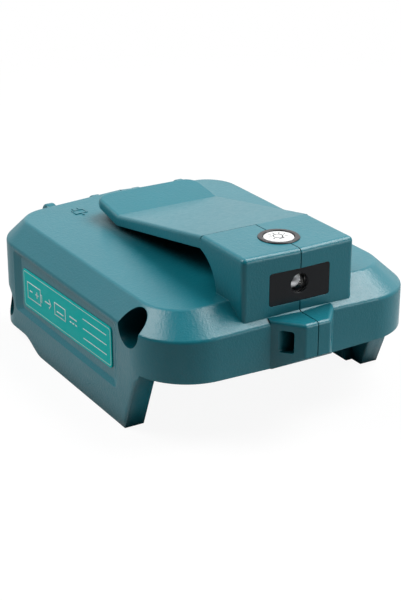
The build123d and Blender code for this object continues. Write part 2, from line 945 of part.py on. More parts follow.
# Button: ring, cap, and the switch on the lamp board below
with BuildPart() as button_bezel:
    with Locations((0, button_y, block_inner_top)):
        Cylinder(bezel_radius - bezel_stem_gap, block_roof, align=(Align.CENTER, Align.CENTER, Align.MIN))
    with Locations((0, button_y, block_top + bezel_proud)):
        Cylinder(bezel_radius, bezel_flange, align=(Align.CENTER, Align.CENTER, Align.MAX))
        Cylinder(cap_radius + cap_clearance, block_top, mode=Mode.SUBTRACT)
    fillet(button_bezel.faces().sort_by(Axis.Z)[-1].edges(), radius=bezel_round)
button_bezel.part.label = "button_bezel"
export_step(button_bezel.part, "parts/button_bezel.step")

with BuildPart() as button_cap:
    with Locations((0, button_y, cap_bottom)):
        Cylinder(cap_flange_radius, cap_flange_height, align=(Align.CENTER, Align.CENTER, Align.MIN))
        cap_height = block_top + cap_proud - cap_bottom
        Cylinder(cap_radius, cap_height, align=(Align.CENTER, Align.CENTER, Align.MIN))
    fillet(button_cap.edges().sort_by(Axis.Z)[-1], radius=cap_round)
button_cap.part.label = "button_cap"
export_step(button_cap.part, "parts/button_cap.step")

switch_top = lamp_board_top + switch_height
with BuildPart() as switch_body:
    with Locations((0, button_y, lamp_board_top)):
        Box(switch_size, switch_size, switch_height, align=(Align.CENTER, Align.CENTER, Align.MIN))
    with Locations((0, button_y, switch_top)):
        Hole(plunger_radius + plunger_clearance, depth=plunger_depth + button_travel + plunger_end_gap)
switch_body.part.label = "switch_body"
export_step(switch_body.part, "parts/switch_body.step")

with BuildPart() as switch_plunger:
    with Locations((0, button_y, cap_bottom)):
        plunger_height = cap_bottom - switch_top + plunger_depth
        Cylinder(plunger_radius, plunger_height, align=(Align.CENTER, Align.CENTER, Align.MAX))
switch_plunger.part.label = "switch_plunger"
export_step(switch_plunger.part, "parts/switch_plunger.step")

with BuildPart() as led_board:
    add(span(
        -half_lamp_board,
        half_lamp_board,
        lamp_board_front_y,
        lamp_board_back_y,
        lamp_board_bottom,
        lamp_board_top,
    ))
led_board.part.label = "led_board"
export_step(led_board.part, "parts/led_board.step")

# Two wires from the main board, under the roof and up into the light block
wire_z = roof_inner - wire_spacing / 2 * draft - wire_radius - wire_roof_gap
with BuildPart() as lamp_wires:
    for wire_x in (-wire_spacing / 2, wire_spacing / 2):
        wire_points = [
            (wire_x, board_front_y + wire_step, board_top),
            (wire_x, board_front_y + wire_step, wire_z),
            (wire_x, front_y + wire_end_setback, wire_z),
            (wire_x, front_y + wire_end_setback, lamp_board_bottom),
        ]
        add(strand(wire_points, wire_radius, wire_bend))
lamp_wires.part.label = "lamp_wires"
export_step(lamp_wires.part, "parts/lamp_wires.step")

# Battery terminals: a block through the bay ceiling with two power blades and three signal contacts
tail_y0 = bay_end_y - terminal_depth + tail_setback
tail_top = board_top + tail_over_board
blade_tip_y = bay_end_y - terminal_depth - blade_reach
with BuildPart() as terminal_blades:
    for blade_x in (-blade_spacing / 2, blade_spacing / 2):
        with BuildSketch(Plane.YZ.offset(blade_x - blade_thickness / 2)):
            with BuildLine():
                Polyline(
                    (blade_tip_y, blade_bottom + blade_tip_chamfer),
                    (blade_tip_y + blade_tip_chamfer, blade_bottom),
                    (tail_y0 + tail_width, blade_bottom),
                    (tail_y0 + tail_width, tail_top),
                    (tail_y0, tail_top),
                    (tail_y0, blade_bottom + blade_height),
                    (blade_tip_y + blade_tip_chamfer, blade_bottom + blade_height),
                    (blade_tip_y, blade_bottom + blade_height - blade_tip_chamfer),
                    close=True,
                )
            make_face()
        extrude(amount=blade_thickness)
terminal_blades.part.label = "terminal_blades"
export_step(terminal_blades.part, "parts/terminal_blades.step")

signal_tip_y = bay_end_y - terminal_depth - signal_reach
with BuildPart() as signal_contacts:
    for index in range(signal_count):
        signal_x = (index - (signal_count - 1) / 2) * signal_spacing
        with BuildSketch(Plane.YZ.offset(signal_x - signal_thickness / 2)):
            with BuildLine():
                Polyline(
                    (signal_tip_y, signal_bottom),
                    (tail_y0 + signal_tail_width, signal_bottom),
                    (tail_y0 + signal_tail_width, tail_top),
                    (tail_y0, tail_top),
                    (tail_y0, signal_bottom + signal_height),
                    (signal_tip_y, signal_bottom + signal_height),
                    close=True,
                )
            make_face()
        extrude(amount=signal_thickness)
signal_contacts.part.label = "signal_contacts"
export_step(signal_contacts.part, "parts/signal_contacts.step")

with BuildPart() as terminal_block:
    add(span(
        -terminal_width / 2,
        terminal_width / 2,
        bay_end_y - terminal_depth,
        bay_end_y,
        terminal_bottom,
        bay_ceiling,
    ))
    fillet(terminal_block.faces().sort_by(Axis.Y)[0].edges(), radius=terminal_round)
    neck_half = terminal_neck_depth / 2
    add(span(
        -terminal_neck_width / 2,
        terminal_neck_width / 2,
        terminal_y - neck_half,
        terminal_y + neck_half,
        bay_ceiling,
        floor_top,
    ))
    flange_half = terminal_neck_width / 2 + terminal_flange
    add(span(
        -flange_half,
        flange_half,
        terminal_y - neck_half - terminal_flange,
        terminal_y + neck_half + terminal_flange,
        floor_top,
        floor_top + terminal_flange_height,
    ))
    add(terminal_blades, mode=Mode.SUBTRACT)
    add(signal_contacts, mode=Mode.SUBTRACT)
terminal_block.part.label = "terminal_block"
export_step(terminal_block.part, "parts/terminal_block.step")

# Sockets: sheet shells, plastic tongues and four contacts each
tongue_bottom = port_z + tongue_rise - tongue_thickness / 2
base_front_y = shell_back_y + tongue_base
with BuildPart() as usb_shells:
    for shell_x in (-port_x, port_x):
        add(span(
            shell_x - shell_width / 2,
            shell_x + shell_width / 2,
            shell_back_y,
            port_face_y,
            port_z - shell_height / 2,
            port_z + shell_height / 2,
        ))
        add(span(
            shell_x - shell_width / 2 + shell_wall,
            shell_x + shell_width / 2 - shell_wall,
            shell_back_y,
            port_face_y,
            port_z - shell_height / 2 + shell_wall,
            port_z + shell_height / 2 - shell_wall,
        ), mode=Mode.SUBTRACT)
        for side in (-1, 1):
            ear_x = shell_x + side * shell_width / 2
            ear_tip = ear_x + side * shell_ear_width
            ear_end = shell_back_y + shell_ear_length
            add(span(ear_x, ear_tip, shell_back_y, ear_end, board_top, board_top + shell_wall))
usb_shells.part.label = "usb_shells"
export_step(usb_shells.part, "parts/usb_shells.step")

tail_back_y = shell_back_y - contact_tail
with BuildPart() as usb_contacts:
    for shell_x in (-port_x, port_x):
        for index in range(contact_count):
            contact_x = shell_x + (index - (contact_count - 1) / 2) * contact_pitch
            with BuildSketch(Plane.YZ.offset(contact_x - contact_width / 2)):
                with BuildLine():
                    Polyline(
                        (base_front_y + contact_length, tongue_bottom),
                        (tail_back_y - contact_foot, tongue_bottom),
                        (tail_back_y - contact_foot, board_top),
                        (tail_back_y, board_top),
                        (tail_back_y, tongue_bottom - contact_thickness),
                        (base_front_y + contact_length, tongue_bottom - contact_thickness),
                        close=True,
                    )
                make_face()
            extrude(amount=contact_width)
usb_contacts.part.label = "usb_contacts"
export_step(usb_contacts.part, "parts/usb_contacts.step")

with BuildPart() as usb_tongues:
    for shell_x in (-port_x, port_x):
        add(span(
            shell_x - shell_width / 2 + shell_wall,
            shell_x + shell_width / 2 - shell_wall,
            shell_back_y,
            base_front_y,
            port_z - shell_height / 2 + shell_wall,
            port_z + shell_height / 2 - shell_wall,
        ))
        add(span(
            shell_x - tongue_width / 2,
            shell_x + tongue_width / 2,
            base_front_y,
            port_face_y - tongue_setback,
            tongue_bottom,
            tongue_bottom + tongue_thickness,
        ))
    add(usb_contacts, mode=Mode.SUBTRACT)
usb_tongues.part.label = "usb_tongues"
export_step(usb_tongues.part, "parts/usb_tongues.step")

# Rubber cover, drawn over the right socket; the left one is the same
with BuildPart() as cover:
    add(cross_rod(barrel_radius, port_x - barrel_width / 2, port_x + barrel_width / 2, hinge_y, hinge_z))
    pin_reach = half_port_gap + trunnion_length - trunnion_end_gap
    add(cross_rod(trunnion_radius, port_x - pin_reach, port_x + pin_reach, hinge_y, hinge_z))
    with BuildSketch(Plane.YZ.offset(port_x)):
        with BuildLine():
            Polyline(
                (hinge_y, hinge_z + barrel_radius),
                (cover_face_y, cover_top + cover_neck_corner),
                (cover_face_y, cover_top - cover_thickness),
                (cover_inner_y, cover_top - cover_thickness),
                (cover_inner_y, hinge_z - cover_neck_inner),
                (hinge_y, hinge_z),
                close=True,
            )
        make_face()
    extrude(amount=barrel_width / 2, both=True)
    with BuildSketch(Plane.XZ.offset(-cover_face_y)):
        with Locations((port_x, (cover_bottom + cover_top) / 2)):
            RectangleRounded(cover_width, cover_top - cover_bottom, cover_round)
    extrude(amount=cover_thickness)
    with BuildSketch(Plane.XZ.offset(-cover_inner_y)):
        with Locations((port_x, port_z)):
            RectangleRounded(cover_plug_width, cover_plug_height, cover_plug_depth / 2)
    extrude(amount=cover_plug_depth)

with BuildPart() as usb_cover_right:
    add(cover.part)
usb_cover_right.part.label = "usb_cover_right"
export_step(usb_cover_right.part, "parts/usb_cover_right.step")

with BuildPart() as usb_cover_left:
    add(Pos(-port_spacing, 0, 0) * cover.part)
usb_cover_left.part.label = "usb_cover_left"
export_step(usb_cover_left.part, "parts/usb_cover_left.step")

# Main board with notches for the sockets and slots for the terminal tails
with BuildPart() as main_board:
    add(span(-board_half_width, board_half_width, board_front_y, board_back_y, board_bottom, board_top))
    notch_half = shell_width / 2 + shell_notch_gap
    for shell_x in (-port_x, port_x):
        add(span(
            shell_x - notch_half,
            shell_x + notch_half,
            shell_back_y - shell_notch_gap,
            board_back_y + wall,
            board_bottom,
            board_top,
        ), mode=Mode.SUBTRACT)
    slot_y = tail_y0 + tail_width / 2
    with Locations((0, slot_y, board_bottom)):
        with GridLocations(blade_spacing, 1, 2, 1):
            Box(
                blade_thickness + 2 * tail_clearance,
                tail_width + 2 * tail_clearance,
                2 * board_thickness,
                mode=Mode.SUBTRACT,
            )
    with Locations((0, tail_y0 + signal_tail_width / 2, board_bottom)):
        with GridLocations(signal_spacing, 1, signal_count, 1):
            Box(
                signal_thickness + 2 * tail_clearance,
                signal_tail_width + 2 * tail_clearance,
                2 * board_thickness,
                mode=Mode.SUBTRACT,
            )
main_board.part.label = "main_board"
export_step(main_board.part, "parts/main_board.step")

# Inductor: flanged core with its winding
inductor_place = Pos(inductor_x, board_front_y + inductor_step, board_top)
with BuildPart() as inductor_core:
    with Locations(inductor_place):
        upright = (Align.CENTER, Align.CENTER, Align.MIN)
        Cylinder(inductor_radius, inductor_flange, align=upright)
        Cylinder(inductor_core_radius, inductor_height, align=upright)
    with Locations(inductor_place * Pos(0, 0, inductor_height - inductor_flange)):
        Cylinder(inductor_radius, inductor_flange, align=upright)
inductor_core.part.label = "inductor_core"
export_step(inductor_core.part, "parts/inductor_core.step")

with BuildPart() as inductor_winding:
    with BuildSketch(Plane.XY.offset(board_top + inductor_flange)):
        with Locations((inductor_x, board_front_y + inductor_step)):
            Circle(inductor_winding_radius)
            Circle(inductor_core_radius, mode=Mode.SUBTRACT)
    extrude(amount=inductor_height - 2 * inductor_flange)
inductor_winding.part.label = "inductor_winding"
export_step(inductor_winding.part, "parts/inductor_winding.step")

# Smoothing capacitors and the converter chips
with BuildPart() as capacitors:
    for index in range(capacitor_count):
        with Locations((capacitor_x, board_front_y + capacitor_step + index * capacitor_pitch, board_top)):
            Cylinder(capacitor_radius, capacitor_height, align=upright)
    fillet(capacitors.edges().group_by(Axis.Z)[-1], radius=capacitor_round)
capacitors.part.label = "capacitors"
export_step(capacitors.part, "parts/capacitors.step")

with BuildPart() as converter_chips:
    with Locations((0, board_front_y + chip_step, board_top)):
        with GridLocations(chip_pitch, 1, chip_count, 1):
            Box(chip_length, chip_width, chip_thickness, align=upright)
converter_chips.part.label = "converter_chips"
export_step(converter_chips.part, "parts/converter_chips.step")
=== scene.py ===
"""Looks of the power tool USB battery adapter: finishes, moulded and printed marks, studio and camera."""

import json
import logging
from dataclasses import dataclass, field
from enum import Enum
from functools import cache
from math import cos, pi, radians, sin

import bpy
from bpy.types import Material, Mesh, Node, NodeTree, Object
from bpy.types import NodeSocket as Socket
from mathutils import Euler, Matrix, Vector

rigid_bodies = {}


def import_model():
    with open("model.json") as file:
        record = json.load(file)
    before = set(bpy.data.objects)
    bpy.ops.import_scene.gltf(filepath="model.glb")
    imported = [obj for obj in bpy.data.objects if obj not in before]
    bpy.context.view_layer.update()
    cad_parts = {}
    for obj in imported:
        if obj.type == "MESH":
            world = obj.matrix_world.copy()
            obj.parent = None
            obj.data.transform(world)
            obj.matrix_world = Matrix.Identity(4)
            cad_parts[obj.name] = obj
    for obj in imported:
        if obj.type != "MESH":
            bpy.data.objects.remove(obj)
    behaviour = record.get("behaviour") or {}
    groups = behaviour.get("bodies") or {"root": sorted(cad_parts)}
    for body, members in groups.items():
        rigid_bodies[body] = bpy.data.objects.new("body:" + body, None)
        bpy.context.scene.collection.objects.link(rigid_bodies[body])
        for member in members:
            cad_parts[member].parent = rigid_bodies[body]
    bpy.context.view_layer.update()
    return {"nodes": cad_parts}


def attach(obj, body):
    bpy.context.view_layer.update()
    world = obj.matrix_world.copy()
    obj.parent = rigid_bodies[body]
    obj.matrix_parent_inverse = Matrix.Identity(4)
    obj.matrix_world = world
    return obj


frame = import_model()

MM = 0.001
WHITE = (1.0, 1.0, 1.0, 1.0)
# Where most values of a noise pattern lie
NOISE_BAND = (0.3, 0.7)
# Dot product of the true and the softened normal, where an edge begins and where it is full
EDGE_BAND = (0.995, 0.80)
# Stands a drawing that faces up against the left side
LEFT_SIDE = Matrix(((0, -1, 0), (0, 0, 1), (-1, 0, 0))).transposed().to_4x4()

Colour = tuple[float, float, float]
Line = list[tuple[float, float]]
log = logging.getLogger("adapter")


def tone(red: int, green: int, blue: int) -> Colour:
    """Turn a colour as seen on a screen into the linear values that a shader takes.

    Args:
        red: red part, 0 to 255.
        green: green part, 0 to 255.
        blue: blue part, 0 to 255.

    Returns:
        The three linear values, 0 to 1.
    """
    parts = []
    for part in (red, green, blue):
        share = part / 255
        parts.append(share / 12.92 if share <= 0.04045 else ((share + 0.055) / 1.055) ** 2.4)
    return tuple(parts)


def shade(colour: Colour, factor: float, lift: float = 0.0) -> Colour:
    """Multiply a linear colour, add a lift to it and hold it at white."""
    return tuple(min(1.0, part * factor + lift) for part in colour)


class Grain(Enum):
    """Direction in which a metal is drawn or brushed."""

    ALONG_X = (0.06, 1.0, 1.0)
    ALONG_Y = (1.0, 0.06, 1.0)
    ALONG_Z = (1.0, 1.0, 0.06)
    NONE = (1.0, 1.0, 1.0)


class NodeSketch:
    """A node tree with short ways to add, set and join its nodes."""

    def __init__(self, tree: NodeTree) -> None:
        """Take a tree and remove the nodes that it has."""
        self.tree = tree
        self.tree.nodes.clear()

    def add(self, kind: str, inputs: dict | None = None, **settings: object) -> Node:
        """Add a node.

        Args:
            kind: the node's type name.
            inputs: values or sockets for its inputs, by name or number.
            settings: the node's own properties.

        Returns:
            The new node.
        """
        node = self.tree.nodes.new(kind)
        for key, value in settings.items():
            setattr(node, key, value)
        for key, value in (inputs or {}).items():
            if isinstance(value, Socket):
                self.join(value, node.inputs[key])
            else:
                node.inputs[key].default_value = value
        return node

    def join(self, source: Socket, target: Socket) -> None:
        """Link an output to an input."""
        self.tree.links.new(source, target)

    def maths(self, operation: str, first: float | Socket, second: float | Socket = 0.0,
              clamp: bool = False) -> Socket:
        """Add a Math node on two values or sockets, held between 0 and 1 where asked."""
        node = self.add("ShaderNodeMath", {0: first, 1: second}, operation=operation, use_clamp=clamp)
        return node.outputs[0]

    def vector(self, operation: str, first: Socket, second: Vector | Socket = Vector((0, 0, 0))) -> Socket:
        """Add a Vector Math node and return its number for a length or dot product, or else its vector."""
        node = self.add("ShaderNodeVectorMath", {0: first, 1: second}, operation=operation)
        return node.outputs["Value" if operation in ("LENGTH", "DOT_PRODUCT") else "Vector"]

    def ramp(
        self, value: float | Socket, low: float, high: float, start: float = 0.0, end: float = 1.0
    ) -> Socket:
        """Map a value from low..high to start..end, held at its ends."""
        inputs = {"Value": value, "From Min": low, "From Max": high, "To Min": start, "To Max": end}
        return self.add("ShaderNodeMapRange", inputs).outputs[0]


class ShaderSketch(NodeSketch):
    """A material's node tree, with patterns in the adapter's own coordinates."""

    def __init__(self, name: str) -> None:
        """Start an empty material that ends in one Principled shader.

        Args:
            name: name of the material.
        """
        self.material = bpy.data.materials.new(name)
        self.material.use_nodes = True
        super().__init__(self.material.node_tree)
        self.output = self.add("ShaderNodeOutputMaterial")
        self.shader = self.add("ShaderNodeBsdfPrincipled")
        self.join(self.shader.outputs["BSDF"], self.output.inputs["Surface"])
        self.place = self.add("ShaderNodeTexCoord").outputs["Object"]

    def along(self, axis: str) -> Socket:
        """Place along one axis, in metres."""
        return self.add("ShaderNodeSeparateXYZ", {0: self.place}).outputs[axis]

    def distance(self, centre: Vector, across: Vector) -> Socket:
        """Distance in metres from a line through a centre, with 1 across the line and 0 along it."""
        offset = self.vector("SUBTRACT", self.place, centre)
        return self.vector("LENGTH", self.vector("MULTIPLY", offset, across))

    def noise(self, size: float, detail: float = 2.0, stretch: Colour = (1, 1, 1)) -> Socket:
        """Add a noise pattern.

        Args:
            size: width of its features in metres.
            detail: octaves of finer noise.
            stretch: scale along each axis, below one where the pattern is drawn out.

        Returns:
            The noise value's socket.
        """
        where = self.add("ShaderNodeMapping", {"Vector": self.place, "Scale": stretch}).outputs["Vector"]
        node = self.add("ShaderNodeTexNoise", {"Vector": where, "Scale": 1 / size, "Detail": detail})
        return node.outputs[0]

    def cells(self, size: float, **settings: object) -> Socket:
        """Distance from the middle of cells of a size in metres."""
        node = self.add("ShaderNodeTexVoronoi", {"Vector": self.place, "Scale": 1 / size}, **settings)
        return node.outputs["Distance"]

    def mix(self, share: float | Socket, first: Colour | Socket, second: Colour | Socket) -> Socket:
        """Mix two colours, plain or from sockets, with this share of the second."""
        inputs = {0: share, 6: self.solid(first), 7: self.solid(second)}
        return self.add("ShaderNodeMix", inputs, data_type="RGBA").outputs[2]

    def blend(self, share: Socket, first: Socket, second: Socket) -> Socket:
        """Mix two shaders, with this share of the second."""
        return self.add("ShaderNodeMixShader", {0: share, 1: first, 2: second}).outputs[0]

    @staticmethod
    def solid(colour: Colour | Socket) -> tuple[float, float, float, float] | Socket:
        """Give a plain colour its fourth value, and leave a socket as it is."""
        return colour if isinstance(colour, Socket) else (*colour, 1.0)

    def softened(self, radius: float | Socket) -> tuple[Socket, Socket]:
        """Round every sharp edge in the shading and find where the edges are.

        Args:
            radius: radius of the rounding in metres, a value or a socket.

        Returns:
            The softened normal and a mask that is 1 on edges.
        """
        soft = self.add("ShaderNodeBevel", {"Radius": radius}, samples=4).outputs[0]
        true = self.add("ShaderNodeNewGeometry").outputs["Normal"]
        return soft, self.ramp(self.vector("DOT_PRODUCT", soft, true), *EDGE_BAND)

    def bump(self, height: Socket, depth: float, normal: Socket | None = None) -> Socket:
        """Turn a height pattern into a normal.

        Args:
            height: the pattern.
            depth: its depth in metres.
            normal: normal that it adds to.

        Returns:
            The bumped normal's socket.
        """
        inputs = {"Height": height, "Distance": depth, "Strength": 1.0}
        if normal is not None:
            inputs["Normal"] = normal
        return self.add("ShaderNodeBump", inputs).outputs[0]

    def finish(self, **values: object) -> Material:
        """Set the shader's sockets and return the material.

        Args:
            values: socket values by socket name, with underscores for spaces.

        Returns:
            The finished material.
        """
        for key, value in values.items():
            socket = self.shader.inputs[key.replace("_", " ")]
            if isinstance(value, Socket):
                self.join(value, socket)
            else:
                socket.default_value = self.solid(value) if isinstance(value, tuple) else value
        self.material.diffuse_color = (0.5, 0.5, 0.5, 1.0)
        return self.material


@dataclass(frozen=True)
class MouldedFinish:
    """Moulded plastic or rubber: fine grain, slight mottle, and edges polished by handling and lightened as
    wear and as painted highlight.
    """

    name: str
    colour: Colour
    roughness: float = 0.31
    swing: float = 0.03
    grain_size: float = 0.45 * MM
    grain_depth: float = 0.045 * MM
    pit_ratio: float = 0.6
    pit_share: float = 0.5
    edge_radius: float = 0.25 * MM
    edge_wear_highlight_lift: float = 1.8
    edge_floor: float = 0.004
    edge_share: float = 0.55
    wear_highlight_size: float = 1.1 * MM
    polish: float = 0.12
    mottle: float = 0.02
    mottle_size: float = 14 * MM
    haze_size: float = 1.4 * MM
    specular: float = 0.5

    def make(self) -> Material:
        """Build the material.

        Returns:
            The finished material.
        """
        sketch = ShaderSketch(self.name)
        soft, edge = self.edges(sketch)
        # Edges are lightened partly as wear and partly as painted highlight
        patches = sketch.ramp(sketch.noise(self.wear_highlight_size, 3), 0.35, 0.6)
        wear_and_highlight = sketch.maths("MULTIPLY", sketch.maths("MULTIPLY", edge, patches), self.edge_share)
        broad = sketch.ramp(sketch.noise(self.mottle_size, 3), 0.35, 0.65)
        base = sketch.mix(broad, shade(self.colour, 1 - 2 * self.mottle), self.colour)
        pale = shade(self.colour, self.edge_wear_highlight_lift, self.edge_floor)
        # Only the shell paints shade into the colour and specular level here
        shown, sheen = self.with_painted_shade(sketch, sketch.mix(wear_and_highlight, base, pale))
        pits = sketch.maths("MULTIPLY", sketch.cells(self.grain_size / self.pit_ratio), self.pit_share)
        height = sketch.maths("ADD", sketch.noise(self.grain_size, 2), pits)
        haze = sketch.noise(self.haze_size, 4)
        rough = sketch.ramp(haze, *NOISE_BAND, self.roughness - self.swing, self.roughness + self.swing)
        smoothed = sketch.maths("MULTIPLY", wear_and_highlight, self.polish)
        return sketch.finish(
            Base_Color=shown,
            Roughness=sketch.maths("SUBTRACT", rough, smoothed, clamp=True),
            Normal=sketch.bump(height, self.grain_depth, soft),
            Specular_IOR_Level=sheen,
        )

    def edges(self, sketch: ShaderSketch) -> tuple[Socket, Socket]:
        """Softened normal, and a mask that is 1 where an edge may wear and carry a painted highlight."""
        return sketch.softened(self.edge_radius)

    def with_painted_shade(self, sketch: ShaderSketch, colour: Socket) -> tuple[Socket, float | Socket]:
        """Colour and specular level as they show; only a shell paints shade into them, in its crevices and
        screw wells.
        """
        return colour, self.specular


@dataclass(frozen=True)
class InkFinish(MouldedFinish):
    """Ink that stands a little proud of what it is printed on."""

    roughness: float = 0.4
    grain_size: float = 0.15 * MM
    grain_depth: float = 0.004 * MM
    edge_radius: float = 0.02 * MM


@dataclass(frozen=True)
class ShellFinish(MouldedFinish):
    """Plastic of the half shells, with painted shade in crevices and screw wells and softly rounded foot
    corners.
    """

    # Painted shade: colour and specular level darken where ambient occlusion finds the surface closed in
    painted_shade_reach: float = 9.0 * MM
    painted_shade_tone: float = 0.22
    painted_shade_shut: float = 0.25
    painted_shade_open: float = 0.85
    # Painted shade: the screw wells are darkened inside, left of the screw seats
    wells: tuple[tuple[float, float], ...] = ()
    well_radius: float = 4.8 * MM
    well_rim: float = 0.06 * MM
    well_floor: float = -10.5 * MM
    well_step: float = 0.2 * MM
    well_painted_shade: float = 0.88
    foot_radius: float = 3.0 * MM
    foot_side: float = 35.0 * MM
    foot_front: float = -22.5 * MM
    foot_top: float = 16.5 * MM
    foot_blend: float = 1.5 * MM

    def edges(self, sketch: ShaderSketch) -> tuple[Socket, Socket]:
        """Round the front outer corners of the feet softly, without wear or painted highlight, and every
        other edge finely.

        Args:
            sketch: material that is being built.

        Returns:
            The softened normal and a mask that is 1 where an edge may wear and carry a painted highlight.
        """
        side = sketch.ramp(
            sketch.maths("ABSOLUTE", sketch.along("X")), self.foot_side - self.foot_blend, self.foot_side
        )
        front = sketch.ramp(sketch.along("Y"), self.foot_front, self.foot_front - self.foot_blend)
        low = sketch.ramp(sketch.along("Z"), self.foot_top, self.foot_top - self.foot_blend)
        foot = sketch.maths("MULTIPLY", sketch.maths("MULTIPLY", side, front), low)
        soft, edge = sketch.softened(sketch.ramp(foot, 0.0, 1.0, self.edge_radius, self.foot_radius))
        return soft, sketch.maths("MULTIPLY", edge, sketch.maths("SUBTRACT", 1.0, foot))

    def with_painted_shade(self, sketch: ShaderSketch, colour: Socket) -> tuple[Socket, float | Socket]:
        """Paint shade into crevices and the screw wells of the left side, in colour and specular level.

        Args:
            sketch: material that is being built.
            colour: colour in the open.

        Returns:
            The colour and the specular level as they show.
        """
        # Painted shade: where ambient occlusion is low, the colour falls towards a dark copy and the specular
        # level falls with it
        reach = {"Distance": self.painted_shade_reach}
        occlusion = sketch.add("ShaderNodeAmbientOcclusion", reach, samples=8).outputs["AO"]
        share = sketch.ramp(occlusion, self.painted_shade_shut, self.painted_shade_open)
        left = sketch.ramp(sketch.along("X"), self.well_floor, self.well_floor - self.well_step)
        # Painted shade inside each screw well, darker colour and less specular
        for y, z in self.wells:
            away = sketch.distance(Vector((0, y, z)) * MM, Vector((0, 1, 1)))
            within = sketch.ramp(away, self.well_radius, self.well_radius - self.well_rim)
            painted_dimming = sketch.maths("MULTIPLY", sketch.maths("MULTIPLY", within, left), self.well_painted_shade)
            share = sketch.maths("MULTIPLY", share, sketch.maths("SUBTRACT", 1.0, painted_dimming))
        shown = sketch.mix(share, shade(self.colour, self.painted_shade_tone), colour)
        return shown, sketch.maths("MULTIPLY", share, self.specular)


@dataclass(frozen=True)
class MetalFinish:
    """Plated or drawn metal: fine scratches along one direction and a little haze."""

    name: str
    colour: Colour
    roughness: float = 0.25
    grain: Grain = Grain.NONE
    haze: Colour = (0.5, 0.5, 0.5)
    haze_share: float = 0.25
    haze_size: float = 2.2 * MM
    scratch_size: float = 0.12 * MM
    scratch_depth: float = 0.003 * MM
    edge_radius: float = 0.08 * MM

    def make(self) -> Material:
        """Build the material.

        Returns:
            The finished material.
        """
        sketch = ShaderSketch(self.name)
        soft, edge = sketch.softened(self.edge_radius)
        scratches = sketch.noise(self.scratch_size, 3, self.grain.value)
        cloud = sketch.ramp(sketch.noise(self.haze_size, 4), 0.4, 0.7, 0.0, self.haze_share)
        base = sketch.mix(cloud, self.colour, self.haze)
        return sketch.finish(
            Base_Color=sketch.mix(edge, base, shade(self.colour, 1.15)),
            Metallic=1.0,
            Roughness=sketch.ramp(scratches, *NOISE_BAND, self.roughness * 0.75, self.roughness * 1.3),
            Normal=sketch.bump(scratches, self.scratch_depth, soft),
        )


@dataclass(frozen=True)
class ClearFinish:
    """Clear cast resin of the lamp's lens, with a faint ripple."""

    name: str
    tint: Colour
    ior: float = 1.5
    ripple_size: float = 1.6 * MM
    ripple_depth: float = 0.01 * MM
    haze_size: float = 0.5 * MM

    def make(self) -> Material:
        """Build the material.

        Returns:
            The finished material, which lets lamp light through.
        """
        sketch = ShaderSketch(self.name)
        material = sketch.finish(
            Base_Color=self.tint,
            Roughness=sketch.ramp(sketch.noise(self.haze_size, 3), 0.4, 0.7, 0.0, 0.04),
            IOR=self.ior,
            Transmission_Weight=1.0,
            Normal=sketch.bump(sketch.noise(self.ripple_size, 1), self.ripple_depth),
        )
        clear = sketch.add("ShaderNodeBsdfTransparent").outputs[0]
        shadow = sketch.add("ShaderNodeLightPath").outputs["Is Shadow Ray"]
        passed = sketch.blend(shadow, sketch.shader.outputs[0], clear)
        sketch.join(passed, sketch.output.inputs["Surface"])
        return material


@dataclass(frozen=True)
class FilmFinish:
    """Printed polyester film of the label: dotted ink under a satin cover, with a paler cut edge."""

    name: str
    ink: Colour
    edge: Colour
    roughness: float = 0.4
    sheen: float = 0.06
    edge_radius: float = 0.04 * MM
    edge_share: float = 0.6
    dot_size: float = 0.18 * MM
    cloud_size: float = 9 * MM
    haze_size: float = 5 * MM
    peel_size: float = 0.9 * MM
    peel_depth: float = 0.004 * MM

    def make(self) -> Material:
        """Build the material.

        Returns:
            The finished material.
        """
        sketch = ShaderSketch(self.name)
        soft, rim = sketch.softened(self.edge_radius)
        dots = sketch.ramp(sketch.cells(self.dot_size), 0.2, 0.6)
        screen = sketch.mix(dots, self.ink, shade(self.ink, 0.86))
        clouds = sketch.ramp(sketch.noise(self.cloud_size, 3), 0.35, 0.7, 0.0, 0.4)
        cloudy = sketch.mix(clouds, screen, self.ink)
        haze = sketch.noise(self.haze_size, 4)
        return sketch.finish(
            Base_Color=sketch.mix(sketch.maths("MULTIPLY", rim, self.edge_share), cloudy, self.edge),
            Roughness=sketch.ramp(haze, *NOISE_BAND, self.roughness - 0.06, self.roughness + 0.08),
            Normal=sketch.bump(sketch.noise(self.peel_size, 2), self.peel_depth, soft),
            Specular_IOR_Level=self.sheen,
        )


@dataclass(frozen=True)
class BoardFinish:
    """Circuit board: lacquer over copper runs on its faces and bare glass fibre on its edges."""

    name: str
    lacquer: Colour
    fibre: Colour
    run_size: float = 2.4 * MM
    run_depth: float = 0.03 * MM
    edge_radius: float = 0.05 * MM
    haze_size: float = 2 * MM

    def make(self) -> Material:
        """Build the material.

        Returns:
            The finished material.
        """
        sketch = ShaderSketch(self.name)
        soft, _ = sketch.softened(self.edge_radius)
        line = sketch.ramp(sketch.cells(self.run_size, distance="CHEBYCHEV", feature="F2"), 0.55, 0.6)
        face = sketch.mix(line, self.lacquer, shade(self.lacquer, 1.6))
        true = sketch.add("ShaderNodeNewGeometry").outputs["True Normal"]
        upright = sketch.add("ShaderNodeSeparateXYZ", {0: true}).outputs["Z"]
        flat = sketch.ramp(sketch.maths("ABSOLUTE", upright), 0.5, 0.9)
        return sketch.finish(
            Base_Color=sketch.mix(flat, self.fibre, face),
            Roughness=sketch.ramp(sketch.noise(self.haze_size, 3), *NOISE_BAND, 0.25, 0.4),
            Normal=sketch.bump(line, self.run_depth, soft),
        )


